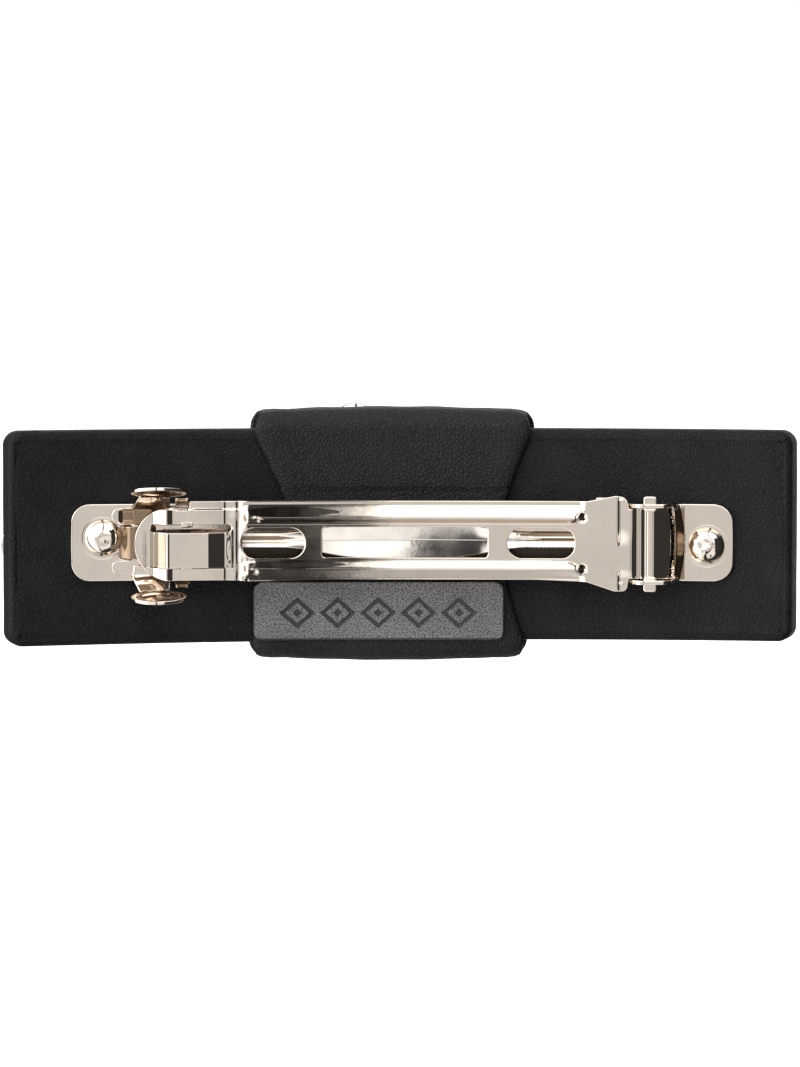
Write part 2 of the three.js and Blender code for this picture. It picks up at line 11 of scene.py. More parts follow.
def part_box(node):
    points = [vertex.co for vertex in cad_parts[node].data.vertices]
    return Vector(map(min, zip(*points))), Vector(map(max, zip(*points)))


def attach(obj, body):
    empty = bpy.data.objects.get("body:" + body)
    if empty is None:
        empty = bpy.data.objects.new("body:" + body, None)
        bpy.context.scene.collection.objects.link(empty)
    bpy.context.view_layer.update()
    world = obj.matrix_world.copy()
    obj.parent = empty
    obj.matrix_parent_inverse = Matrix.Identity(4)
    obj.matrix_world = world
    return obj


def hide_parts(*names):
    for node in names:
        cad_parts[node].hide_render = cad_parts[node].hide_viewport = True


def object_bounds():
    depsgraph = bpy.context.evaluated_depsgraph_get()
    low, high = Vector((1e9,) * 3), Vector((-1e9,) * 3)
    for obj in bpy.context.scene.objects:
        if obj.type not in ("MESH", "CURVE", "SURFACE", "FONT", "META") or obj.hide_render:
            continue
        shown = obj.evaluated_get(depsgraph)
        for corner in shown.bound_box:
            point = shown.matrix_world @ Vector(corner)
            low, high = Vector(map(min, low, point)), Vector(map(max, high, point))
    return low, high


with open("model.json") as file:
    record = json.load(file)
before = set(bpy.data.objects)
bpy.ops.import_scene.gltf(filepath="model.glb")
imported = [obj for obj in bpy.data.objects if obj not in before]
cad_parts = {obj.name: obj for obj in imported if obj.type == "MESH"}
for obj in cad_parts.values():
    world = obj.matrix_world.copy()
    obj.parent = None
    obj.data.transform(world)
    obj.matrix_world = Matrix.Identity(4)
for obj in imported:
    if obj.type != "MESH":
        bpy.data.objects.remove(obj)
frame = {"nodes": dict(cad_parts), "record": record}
cad_low, cad_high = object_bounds()

# ---------------------------------------------------------------- shared sizes, in millimetres

MM = 0.001
CLASP_RADIUS = 263.0
BOW_RADIUS = 190.0
GRIP_HEIGHT = 3.2
CLASP_LIFT = 1.25

BOW_THICKNESS = 5.15
LEATHER = 1.0
SHEET = 0.5


def corners(node):
    """A CAD node's box, in millimetres."""
    low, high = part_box(node)
    return np.array(low) / MM, np.array(high) / MM


def joint(name):
    """A joint of the part's record."""
    return next(j for j in frame["record"]["behaviour"]["joints"] if j["name"] == name)


def clasp_depth(x):
    """How far the clasp's arc falls away from its middle."""
    return CLASP_RADIUS - np.sqrt(CLASP_RADIUS**2 - x**2)


def on_clasp(x, z, h):
    """A point at height h above the back of the clasp's plate."""
    return np.stack([x, GRIP_HEIGHT - clasp_depth(x) - h, z + 0 * x], axis=-1)


def on_bow(s, z, h):
    """A point at height h above the back face of the bow; s runs along the bow."""
    angle = np.arcsin(s / BOW_RADIUS)
    radius = BOW_RADIUS - h
    y = radius * np.cos(angle) - BOW_RADIUS + GRIP_HEIGHT + CLASP_LIFT
    return np.stack([radius * np.sin(angle), y, z + 0 * s], axis=-1)


# ---------------------------------------------------------------- curves and outlines


def smooth(x, start, end):
    """A step from 0 to 1 with soft ends."""
    t = np.clip((x - start) / (end - start), 0, 1)
    return t * t * (3 - 2 * t)


def bump(x, centre, width):
    """A bell round a centre."""
    return np.exp(-(((x - centre) / width) ** 2))


def profile(points, rounding=0.2):
    """Straight lines through the points, with their corners rounded off."""
    xs, hs = np.array(points, float).T
    taps = np.linspace(-1, 1, 11)
    weights = 1 - taps**2 + 0.02

    def height(x):
        x = np.asarray(x, float)
        total = sum(w * np.interp(x + t * rounding, xs, hs) for t, w in zip(taps, weights))
        return total / weights.sum()

    return height


def outline(points, step=0.25):
    """A closed outline through (u, v, corner radius) points, counter-clockwise, evenly sampled."""
    path = []
    count = len(points)
    for i in range(count):
        here = np.array(points[i][:2], float)
        before = np.array(points[i - 1][:2], float) - here
        after = np.array(points[(i + 1) % count][:2], float) - here
        radius = points[i][2]
        if radius <= 0:
            path.append(here)
            continue
        a, b = before / np.linalg.norm(before), after / np.linalg.norm(after)
        half = math.acos(np.clip(a @ b, -1, 1)) / 2
        reach = radius / math.tan(half)
        centre = here + (a + b) / np.linalg.norm(a + b) * radius / math.sin(half)
        first, last = here + a * reach - centre, here + b * reach - centre
        turn = math.atan2(first[0] * last[1] - first[1] * last[0], first @ last)
        pieces = max(3, int(abs(turn) * radius / min(step, 0.2)) + 1)
        start = math.atan2(first[1], first[0])
        for k in range(pieces + 1):
            angle = start + turn * k / pieces
            path.append(centre + radius * np.array([math.cos(angle), math.sin(angle)]))
    dense = []
    for i, here in enumerate(path):
        there = path[(i + 1) % len(path)]
        pieces = max(1, int(np.linalg.norm(there - here) / step))
        dense.extend(here + (there - here) * k / pieces for k in range(pieces))
    return np.array(dense)


def slot(left, right, bottom, top, radius_left, radius_right=None, step=0.2):
    """A rectangle with rounded corners."""
    radius_right = radius_left if radius_right is None else radius_right
    return outline(
        [
            (left, bottom, radius_left),
            (right, bottom, radius_right),
            (right, top, radius_right),
            (left, top, radius_left),
        ],
        step,
    )


def ring(centre, radius, count=40):
    """A circle of points."""
    angles = np.linspace(0, 2 * math.pi, count, endpoint=False)
    return np.stack([centre[0] + radius * np.cos(angles), centre[1] + radius * np.sin(angles)], -1)


def area(loop):
    u, v = loop.T
    return 0.5 * np.sum(u * np.roll(v, -1) - v * np.roll(u, -1))


def wound(loop, sign):
    """The loop, running anticlockwise for sign 1 and clockwise for -1."""
    return loop if area(loop) * sign > 0 else loop[::-1]


def inside(points, loops):
    """Even-odd test of points against closed loops."""
    result = np.zeros(len(points), bool)
    for loop in loops:
        ahead = np.roll(loop, -1, axis=0)
        for (u0, v0), (u1, v1) in zip(loop, ahead):
            if v0 == v1:
                continue
            cross = (points[:, 1] < v0) != (points[:, 1] < v1)
            where = u0 + (points[:, 1] - v0) * (u1 - u0) / (v1 - v0)
            result ^= cross & (points[:, 0] < where)
    return result


def clearance(points, loops):
    """Distance from each point to the nearest loop's edge."""
    nearest = np.full(len(points), 1e9)
    for loop in loops:
        for a, b in zip(loop, np.roll(loop, -1, axis=0)):
            edge = b - a
            length = max(edge @ edge, 1e-12)
            t = np.clip(((points - a) @ edge) / length, 0, 1)
            gap = points - a - t[:, None] * edge
            nearest = np.minimum(nearest, np.einsum("ij,ij->i", gap, gap))
    return np.sqrt(nearest)


def inset(loop, distance):
    """The loop moved to its left, which is the material's side."""
    ahead = np.roll(loop, -1, axis=0) - loop
    ahead /= np.linalg.norm(ahead, axis=1)[:, None]
    normal = np.stack([-ahead[:, 1], ahead[:, 0]], -1)
    mean = normal + np.roll(normal, 1, axis=0)
    mean /= np.linalg.norm(mean, axis=1)[:, None]
    stretch = np.clip(1 / np.maximum(np.einsum("ij,ij->i", mean, normal), 0.2), 1, 1.6)
    return loop + mean * (distance * stretch)[:, None]


# ---------------------------------------------------------------- meshes


def mesh_of(name, points, faces):
    """A mesh from points in millimetres."""
    mesh = bpy.data.meshes.new(name)
    places = [tuple(p) for p in np.asarray(points) * MM]
    mesh.from_pydata(places, [], [tuple(int(i) for i in f) for f in faces])
    return mesh


def new_piece(name, points, faces, material, body, nodes=(), slot_name="nickel"):
    """A visual piece that rides a body and replaces the CAD nodes named."""
    mesh = mesh_of(name, points, faces)
    mesh.validate()
    mesh.update()
    mesh.shade_smooth()
    mesh.materials.append(material)
    piece = bpy.data.objects.new(name, mesh)
    bpy.context.collection.objects.link(piece)
    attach(piece, body)
    if nodes:
        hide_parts(*nodes)
    return piece


def spaced(low, high, pitch, bends=(), reach=0.3, count=4):
    """Grid positions between two limits: even, and closer together around each bend."""
    near = [bend + reach * k / count for bend in bends for k in range(-count, count + 1)]
    found = [low - 1]
    for value in sorted([*np.arange(low + pitch / 2, high, pitch), *near]):
        if value - found[-1] > 0.045:
            found.append(value)
    return np.array(found[1:])


def closed(first, count):
    """The edges of a closed loop of points, numbered from first."""
    return [(first + k, first + (k + 1) % count) for k in range(count)]


def filled(points, edges, loops):
    """Triangles through the points, kept between the loops and all wound one way."""
    spots = [Vector(p) for p in points]
    flat, _, faces, origin, _, _ = geometry.delaunay_2d_cdt(spots, edges, [], 0, 1e-5)
    flat = np.array([tuple(p) for p in flat])
    triangles = np.array([tuple(f) for f in faces])
    kept = triangles[inside(flat[triangles].mean(1), loops)]
    signed = np.cross(flat[kept[:, 1]] - flat[kept[:, 0]], flat[kept[:, 2]] - flat[kept[:, 0]])
    return flat, origin, np.where((signed < 0)[:, None], kept[:, ::-1], kept)


EDGE_STEPS = ((0.0, 1.0), (0.12, 0.525), (0.42, 0.185), (1.0, 0.0), (1.7, 0.0))


def pressing(rim, holes, surface, thickness, edge=0.07, pitch=0.5, out=1, bends=((), ()), marks=()):
    """A sheet with rounded edges: rim and holes in its flat plane, surface gives its outer face.

    Bends are places along u and v that need a finer mesh, and marks are loops pressed into the sheet.
    """
    rim = wound(rim, 1)
    holes = [wound(h, -1) for h in holes]
    loops = [rim, *holes]
    points, drops, edges = [], [], []
    for loop in loops:
        for share, drop in EDGE_STEPS:
            first = len(points)
            points.extend(inset(loop, share * edge))
            drops.extend([drop * edge] * len(loop))
            edges.extend(closed(first, len(loop)))
    for loop in marks:
        first = len(points)
        points.extend(loop)
        drops.extend([0.0] * len(loop))
        edges.extend(closed(first, len(loop)))
    low, high = rim.min(0), rim.max(0)
    grid_u = spaced(low[0], high[0], pitch, bends[0])
    grid_v = spaced(low[1], high[1], pitch, bends[1])
    grid = np.stack(np.meshgrid(grid_u, grid_v), -1).reshape(-1, 2)
    grid = grid[inside(grid, loops)]
    grid = grid[clearance(grid, loops) > edge * 1.7 + 0.05]
    if marks:
        grid = grid[clearance(grid, marks) > 0.06]
    points.extend(grid)
    drops.extend([0.0] * len(grid))
    flat, origin, kept = filled(points, edges, loops)
    drop = np.array([drops[o[0]] if o else 0.0 for o in origin])

    u, v = flat.T
    step = 0.01
    du = surface(u + step, v) - surface(u - step, v)
    dv = surface(u, v + step) - surface(u, v - step)
    normal = np.cross(du, dv) * out
    normal /= np.linalg.norm(normal, axis=1)[:, None]
    face = surface(u, v)
    top = face - normal * drop[:, None]
    bottom = face - normal * (thickness - drop)[:, None]
    count = len(flat)
    sides = dict.fromkeys((f[i], f[(i + 1) % 3]) for f in kept.tolist() for i in range(3))
    walls = [(end, start, start + count, end + count) for start, end in sides if (end, start) not in sides]
    mesh_faces = [tuple(f) for f in kept] + [tuple(f[::-1] + count) for f in kept] + walls
    if out < 0:
        mesh_faces = [f[::-1] for f in mesh_faces]
    return np.concatenate([top, bottom]), mesh_faces


def tidy(points, faces):
    """Drops the points that no face uses."""
    used = sorted({int(i) for f in faces for i in f})
    place = {old: new for new, old in enumerate(used)}
    return np.asarray(points)[used], [tuple(place[int(i)] for i in f) for f in faces]


def together(*parts):
    """Several meshes as one."""
    points, faces = [], []
    for part_points, part_faces in parts:
        base = sum(len(p) for p in points)
        points.append(np.asarray(part_points))
        faces.extend(tuple(int(i) + base for i in f) for f in part_faces)
    return np.concatenate(points), faces


def turned(section, count, place):
    """A closed solid turned from (radius, height) points that start and end on the axis."""
    points, faces = [], []
    inner = section[1:-1]
    for k in range(count):
        angle = 2 * math.pi * k / count
        points.extend((r * math.cos(angle), r * math.sin(angle), h) for r, h in inner)
    size = len(inner)
    foot, crown = len(points), len(points) + 1
    points.extend([(0, 0, section[0][1]), (0, 0, section[-1][1])])
    for k in range(count):
        here, there = k * size, (k + 1) % count * size
        faces.append((foot, there, here))
        faces.append((crown, here + size - 1, there + size - 1))
        for j in range(size - 1):
            faces.append((here + j, there + j, there + j + 1, here + j + 1))
    return place(np.array(points)), faces


# ---------------------------------------------------------------- materials


class Tree:
    """A short way to write a node tree."""

    def __init__(self, tree):
        self.tree = tree

    def feed(self, node, inputs):
        for key, value in inputs.items():
            if isinstance(value, bpy.types.NodeSocket):
                self.tree.links.new(value, node.inputs[key])
            else:
                node.inputs[key].default_value = value
        return node

    def add(self, kind, inputs=None, **settings):
        node = self.tree.nodes.new(kind)
        for key, value in settings.items():
            setattr(node, key, value)
        return self.feed(node, inputs or {})

    def maths(self, operation, *values):
        return self.add("ShaderNodeMath", dict(enumerate(values)), operation=operation).outputs[0]

    def ramp(self, value, low, high, start=0.0, end=1.0):
        inputs = {"Value": value, "From Min": start, "From Max": end, "To Min": low, "To Max": high}
        return self.add("ShaderNodeMapRange", inputs, interpolation_type="SMOOTHSTEP").outputs["Result"]

    def band(self, value, start, end, soft):
        """1 between start and end, and 0 outside them."""
        rise = self.ramp(value, 0.0, 1.0, start - soft, start + soft)
        fall = self.ramp(value, 1.0, 0.0, end - soft, end + soft)
        return self.maths("MULTIPLY", rise, fall)

    def blend(self, factor, a, b):
        node = self.add("ShaderNodeMix", data_type="RGBA")
        self.tree.links.new(factor, node.inputs["Factor"])
        colours = [s for s in node.inputs if s.type == "RGBA"]
        for socket, value in zip(colours, (a, b)):
            if isinstance(value, bpy.types.NodeSocket):
                self.tree.links.new(value, socket)
            else:
                socket.default_value = (*value, 1)
        return [s for s in node.outputs if s.type == "RGBA"][0]


class Nodes(Tree):
    """The node tree of a new material."""

    def __init__(self, name):
        self.material = bpy.data.materials.new(name)
        self.material.use_nodes = True
        super().__init__(self.material.node_tree)
        self.shader = self.tree.nodes["Principled BSDF"]
        self.place = self.add("ShaderNodeTexCoord").outputs["Object"]

    def noise(self, scale, detail=3.0, roughness=0.55, vector=None):
        inputs = {"Vector": vector or self.place, "Scale": scale, "Detail": detail, "Roughness": roughness}
        return self.add("ShaderNodeTexNoise", inputs).outputs["Fac"]

    def cells(self, scale, feature="F1", vector=None, randomness=1.0, flat=False):
        inputs = {"Vector": vector or self.place, "Scale": scale, "Randomness": randomness}
        dimensions = "2D" if flat else "3D"
        node = self.add("ShaderNodeTexVoronoi", feature=feature, voronoi_dimensions=dimensions)
        if flat:
            axis = self.add("ShaderNodeSeparateXYZ", {"Vector": inputs["Vector"]}).outputs
            inputs["Vector"] = self.add("ShaderNodeCombineXYZ", {"X": axis["X"], "Y": axis["Z"]}).outputs[0]
        return self.feed(node, inputs).outputs["Distance"]

    def relief(self, height, distance, strength=1.0, below=None):
        inputs = {"Height": height, "Distance": distance, "Strength": strength}
        if below is not None:
            inputs["Normal"] = below
        return self.add("ShaderNodeBump", inputs).outputs["Normal"]

    def finish(self, colour=None, rough=None, normal=None, **values):
        for key, value in (("Base Color", colour), ("Roughness", rough), ("Normal", normal)):
            if isinstance(value, bpy.types.NodeSocket):
                self.tree.links.new(value, self.shader.inputs[key])
            elif value is not None:
                self.shader.inputs[key].default_value = value
        for key, value in values.items():
            self.shader.inputs[key.replace("_", " ").title().replace("Ior", "IOR")].default_value = value
        return self.material


def plated(name, colour, low=0.05, high=0.12):
    """Polished plate: a little uneven in gloss, with fine wiping marks and faint tarnish."""
    n = Nodes(name)
    cloud = n.noise(260.0, 4.0)
    fine = n.noise(5200.0, 2.0)
    shade = tuple(c * 0.93 for c in colour)
    tint = n.blend(n.ramp(cloud, 0.0, 1.0, 0.35, 0.75), colour, shade)
    rough = n.ramp(n.maths("ADD", cloud, n.maths("MULTIPLY", fine, 0.35)), low, high, 0.45, 1.0)
    normal = n.relief(n.maths("ADD", n.noise(900.0, 2.0), n.maths("MULTIPLY", fine, 0.15)), 0.000004, 0.5)
    return n.finish(tint, rough, normal, metallic=1.0)


def hide(name, colour, deep, grain=2100.0, rough=(0.42, 0.62), depth=0.00006, specular=0.22):
    """Fine-grained leather: pebbles between creases, pores, and slow waves of tone and gloss."""
    n = Nodes(name)
    warp = n.add("ShaderNodeTexNoise", {"Vector": n.place, "Scale": 900.0, "Detail": 2.0}).outputs["Color"]
    shift = n.add("ShaderNodeVectorMath", {0: warp, "Scale": 0.00035}, operation="SCALE").outputs["Vector"]
    place = n.add("ShaderNodeVectorMath", {0: n.place, 1: shift}, operation="ADD").outputs["Vector"]
    crease = n.cells(grain, "DISTANCE_TO_EDGE", place)
    pebble = n.ramp(crease, 0.0, 1.0, 0.0, 0.28)
    small = n.ramp(n.cells(grain * 2.6, "F1", place), 1.0, 0.0, 0.0, 0.9)
    waves = n.noise(110.0, 3.0)
    height = n.maths("ADD", pebble, n.maths("MULTIPLY", small, 0.35))
    height = n.maths("ADD", height, n.maths("MULTIPLY", waves, 1.6))
    normal = n.relief(height, depth, 0.9)
    tone = n.blend(n.ramp(crease, 0.0, 1.0, 0.0, 0.22), deep, colour)
    worn = tuple(c * 1.35 for c in colour)
    tone = n.blend(n.ramp(waves, 0.0, 0.8, 0.5, 0.78), tone, worn)
    gloss = n.maths("ADD", n.maths("MULTIPLY", waves, 0.4), n.maths("MULTIPLY", pebble, 0.6))
    rough_map = n.ramp(gloss, rough[1], rough[0])
    return n.finish(tone, rough_map, normal, specular_ior_level=specular)


def pored(name, colour, pore, rough=0.62, specular=0.3):
    """Flat split leather with open pores, for the label patch."""
    n = Nodes(name)
    dots = n.cells(3300.0, "F1", randomness=0.9, flat=True)
    hole = n.ramp(dots, 1.0, 0.0, 0.1, 0.36)
    grain = n.noise(3800.0, 4.0, 0.7)
    clouds = n.noise(190.0, 3.0)
    pale = tuple(c * 1.25 for c in colour)
    tone = n.blend(n.ramp(clouds, 0.0, 1.0, 0.35, 0.7), colour, pale)
    tone = n.blend(n.ramp(grain, 0.0, 0.35, 0.4, 0.75), tone, pore)
    tone = n.blend(hole, tone, pore)
    height = n.maths("SUBTRACT", n.maths("MULTIPLY", grain, 0.5), hole)
    normal = n.relief(height, 0.00005, 0.8)
    rough_map = n.ramp(grain, rough - 0.08, rough + 0.1, 0.3, 0.7)
    return n.finish(tone, rough_map, normal, specular_ior_level=specular)


def fibrous(name, colour, dark, scale):
    """Board and foam inside the bow."""
    n = Nodes(name)
    specks = n.noise(scale, 5.0, 0.7)
    tone = n.blend(n.ramp(specks, 0.0, 1.0, 0.35, 0.65), dark, colour)
    normal = n.relief(specks, 0.00012, 0.7)
    return n.finish(tone, n.ramp(specks, 0.95, 0.75), normal, specular_ior_level=0.2)


NICKEL = plated("nickel", (0.74, 0.655, 0.57))
# Painted shade and painted brown reflection: a darker copy of the nickel for faces that the parts round them
# darken.
SHADED = plated("nickel_shaded", (0.3, 0.215, 0.145), 0.12, 0.25)
# Painted shadow: a near-black copy of the nickel for faces in deep shade.
PAINTED_SHADOW = plated("nickel_painted_shadow", (0.045, 0.036, 0.028), 0.2, 0.35)
# Painted light: a lighter copy of the nickel for the tension bar's bright reflections.
LIT_NICKEL = plated("nickel_painted_light", (0.93, 0.86, 0.78))
# Painted dark reflection: a near-black copy of the nickel for the rib slopes near the latch.
PAINTED_DARK = plated("nickel_painted_dark", (0.1, 0.09, 0.078), 0.08, 0.18)
SILVER = plated("stud_metal", (0.8, 0.79, 0.77), 0.05, 0.14)
BAND = hide("band_leather", (0.0042, 0.0042, 0.0048), (0.0016, 0.0016, 0.0018), depth=0.00005, specular=0.14)
WRAP = hide(
    "wrap_leather", (0.005, 0.0049, 0.0056), (0.002, 0.002, 0.0023), 2000.0, (0.36, 0.58), specular=0.2
)
PATCH = pored("patch_leather", (0.073, 0.07, 0.069), (0.006, 0.0058, 0.0057))
PRESSED = pored("patch_debossed", (0.014, 0.0135, 0.0135), (0.006, 0.006, 0.006), 0.45, 0.35)
BOARD = fibrous("board", (0.3, 0.24, 0.16), (0.2, 0.155, 0.1), 2400.0)
FOAM = fibrous("foam", (0.68, 0.65, 0.58), (0.5, 0.47, 0.4), 3200.0)

# ---------------------------------------------------------------- base plate

PLATE = 0.6
plate_low, plate_high = corners("base_plate")
PLATE_BULGE = 0.16
PLATE_LEFT, PLATE_RIGHT = plate_low[0] + PLATE_BULGE, plate_high[0] - PLATE_BULGE
PLATE_HALF = 4.66
RIVETS = {side: sum(corners(f"rivet_{side}")) / 2 for side in ("left", "right")}
RIVET_DOME = 2.22
RING = 2.52
RING_STEPS = (-0.14, -0.08, -0.03, 0.03, 0.08, 0.14)

pivot = np.array(joint("arm_hinge")["pos_m"]) / MM
PIVOT_X = pivot[0]
PIVOT_HEIGHT = GRIP_HEIGHT - clasp_depth(PIVOT_X) - pivot[1]
HINGE_FLOOR = (27.5, 33.0)
EAR_INNER = 4.35


def rivet_spot(side):
    """Where a rivet's axis meets the plate's outer face, as (x, z)."""
    centre = RIVETS[side]
    sign = -1 if side == "left" else 1
    return np.array([centre[0] + sign * 0.29, centre[2]])


def plate_height(x, z):
    """The plate's outer face: ringed round each rivet, with a lip at the hinge."""
    height = PLATE + 0 * x
    for side in ("left", "right"):
        spot = rivet_spot(side)
        distance = np.hypot(x - spot[0], z - spot[1])
        height = height - 0.012 * bump(distance, RING, 0.06)
    lip_end = HINGE_FLOOR[1] + 1.4 - 0.5 * (z / 4.2) ** 2
    rise = np.clip((lip_end - x) / 1.1, 0, 1) ** 1.3
    return height + 0.9 * rise * (x > HINGE_FLOOR[1] - 0.3)


def base_plate():
    rim = outline(
        [
            (PLATE_LEFT, -PLATE_HALF, 2.1),
            (PLATE_RIGHT, -PLATE_HALF, 2.2),
            (PLATE_RIGHT, PLATE_HALF, 2.2),
            (PLATE_LEFT, PLATE_HALF, 2.1),
        ]
    )
    bulge = PLATE_BULGE * (1 - (rim[:, 1] / PLATE_HALF) ** 2)
    at_left, at_right = rim[:, 0] < PLATE_LEFT + 1.5, rim[:, 0] > PLATE_RIGHT - 1.5
    rim[:, 0] += bulge * at_right - bulge * at_left
    holes = [
        slot(-33.9, -29.5, -2.02, 2.02, 0.4),
        slot(HINGE_FLOOR[0], HINGE_FLOOR[1], -4.25, 4.25, 0.5),
        ring(rivet_spot("left"), 1.2),
        ring(rivet_spot("right"), 1.2),
    ]
    marks = [ring(rivet_spot(side), RING + gap, 72) for side in ("left", "right") for gap in RING_STEPS]
    bends = ((33.3, 33.8, 34.3), ())

    def surface(x, z):
        return on_clasp(x, z, plate_height(x, z))

    return pressing(rim, holes, surface, PLATE, 0.09, 0.45, 1, bends, marks)


def strap():
    """The lanced strap that holds the latch down."""
    rise = [(-34.4, 0.1), (-33.95, 0.5), (-33.4, 0.66), (-32.8, 1.3), (-32.3, 1.52), (-31.8, 1.62)]
    ramp = profile(rise + [(-30.8, 1.6), (-29.5, 0.6), (-29.0, 0.5)], 0.25)
    rim = slot(-34.3, -29.1, -1.95, 1.95, 0.3)
    return pressing(rim, [], lambda x, z: on_clasp(x, z, ramp(x)), 0.42, 0.06, 0.25)


def hinge_ear(side):
    """A cheek bent up from the plate's edge, with the lug's hole in it."""
    depth = clasp_depth(PIVOT_X)
    left, right = HINGE_FLOOR[0] + 0.1, 33.5

    def foot(x):
        return clasp_depth(x) - depth + 0.06

    rim = outline(
        [
            (left, foot(left), 0),
            (right, foot(right), 0),
            (right - 0.05, 2.6, 0.7),
            (PIVOT_X + 1.75, PIVOT_HEIGHT + 1.3, 1.0),
            (PIVOT_X - 1.5, PIVOT_HEIGHT + 1.6, 1.2),
            (left, 3.3, 0.7),
        ],
        0.15,
    )
    eye = ring((PIVOT_X, PIVOT_HEIGHT), 0.95, 32)
    outer = side * (EAR_INNER + SHEET)

    def surface(x, h):
        lean = 0.35 * smooth(x, 32.6, 33.5)
        return np.stack([x, GRIP_HEIGHT - depth - h, outer - side * lean + 0 * x], -1)

    return pressing(rim, [eye], surface, SHEET, 0.08, 0.3, -side)


def lengths_along(path):
    """The distance from a path's start to each of its points."""
    return np.concatenate([[0], np.cumsum(np.linalg.norm(np.diff(path, axis=0), axis=1))])


def folded(path, side, rounding=0.3):
    """A sheet's outer face along a (z, h) path: gives points from x and the length along the path."""
    path = np.array(path, float)
    lengths = lengths_along(path)
    across = profile(np.stack([lengths, path[:, 0]], -1), rounding)
    up = profile(np.stack([lengths, path[:, 1]], -1), rounding)

    def surface(x, s, lift=0.0):
        z, h = across(s), up(s)
        return on_clasp(x, side * z, h + lift)

    return surface, lengths


def guard_tab(side):
    """A small tab bent up beside a finger pad's wall."""
    path = [(4.2, 0.3), (4.72, 0.34), (5.42, 2.15)]
    surface, lengths = folded(path, side, 0.25)
    rim = slot(-27.1, -25.35, 0.05, lengths[-1], 0.3)
    return pressing(rim, [], surface, 0.42, 0.06, 0.2, -side)


def repaint(piece, material, chosen):
    """Gives a second material to the faces whose centre, in millimetres, is chosen."""
    piece.data.materials.append(material)
    for polygon in piece.data.polygons:
        if chosen(Vector(polygon.center) / MM, polygon.normal):
            polygon.material_index = len(piece.data.materials) - 1


PLATE_PIECE = new_piece(
    "clasp_base_plate",
    *tidy(*together(base_plate(), hinge_ear(1), hinge_ear(-1), guard_tab(1), guard_tab(-1))),
    NICKEL,
    "root",
    ["base_plate"],
)
# Painted brown reflection on the lip at the hinge end of the plate.
repaint(PLATE_PIECE, SHADED, lambda at, facing: facing.y < -0.2 and 33.05 < at.x < 34.3 and abs(at.z) < 4.3)
# Painted brown reflection on the guard tabs beside the finger pads.
repaint(PLATE_PIECE, SHADED, lambda at, facing: at.x < -25.3 and 4.72 < abs(at.z) < 5.25 and at.x > -27.2)
# Painted shadow: a dark band on the plate under the tension bar.
repaint(PLATE_PIECE, PAINTED_SHADOW, lambda at, facing: facing.y < -0.5 and abs(at.x) < 26.5 and -2.4 < at.z < -0.55)
# The strap is all in the shaded nickel: painted brown reflection of the parts round it.
new_piece("latch_strap", *tidy(*strap()), SHADED, "root")

# ---------------------------------------------------------------- clasp arm

ARM_CENTRE = 0.1
WEB = 4.0
TONGUE = (-2.9, 1.35)
STRIP_INNER = (-3.0, 2.3)
SLIT = (-29.9, -20.3)

ARM_PATH = (
    (-33.0, 2.6),
    (-29.8, 2.6),
    (-29.7, 2.56),
    (-28.05, 4.0),
    (-27.3, 3.7),
    (-21.15, 3.62),
    (-21.0, 3.48),
    (-20.9, 3.48),
    (-19.75, 3.74),
    (-19.55, 3.54),
    (-19.45, 3.54),
    (-18.5, 4.0),
    (27.6, WEB),
    (27.8, 3.96),
    (28.45, 3.54),
    (28.95, 3.5),
    (29.4, 3.18),
    (29.55, 3.18),
    (29.68, 3.5),
    (30.4, 3.5),
    (31.2, 3.06),
    (32.0, 2.56),
    (32.6, 2.15),
    (33.4, 1.6),
)
TONGUE_PATH = (
    (-33.0, 2.62),
    (-30.0, 2.62),
    (-29.62, 2.3),
    (-28.15, 4.6),
    (-27.9, 4.88),
    (-27.65, 4.76),
    (-23.05, 4.7),
    (-21.05, 3.92),
    (-20.25, 3.9),
    (-20.0, 3.72),
    (-19.0, 3.7),
)
BODY_PATH = ((-1, WEB), (2.3, WEB), (2.95, 4.62), (3.2, 4.62), (4.3, 3.68), (4.45, 3.62), (6, 3.6))
along_arm = profile(ARM_PATH, 0.16)
along_tongue = profile(TONGUE_PATH, 0.1)
across_body = profile(BODY_PATH, 0.14)


def crumple(x, z):
    """Flat facets with sharp folds between them, where the pressing was sheared."""
    first = np.abs((0.9 * x + 0.5 * z + 0.2) % 2.3 - 1.15)
    second = np.abs((0.7 * x - 0.65 * z + 0.7) % 1.9 - 0.95)
    return np.minimum(first, second)


def dimple(x, z, centre_x, centre_z, radius):
    return np.exp(-((x - centre_x) ** 2 + (z - centre_z) ** 2) / radius**2)


RIB_DOTS = ((-17.2, 2.9), (-17.9, -2.34), (-17.5, -3.4))


def arm_waist(x):
    """How far the lower edge of the arm draws in along its middle."""
    return 0.42 * np.clip(1 - ((x - 3.0) / 19.0) ** 2, 0, 1)


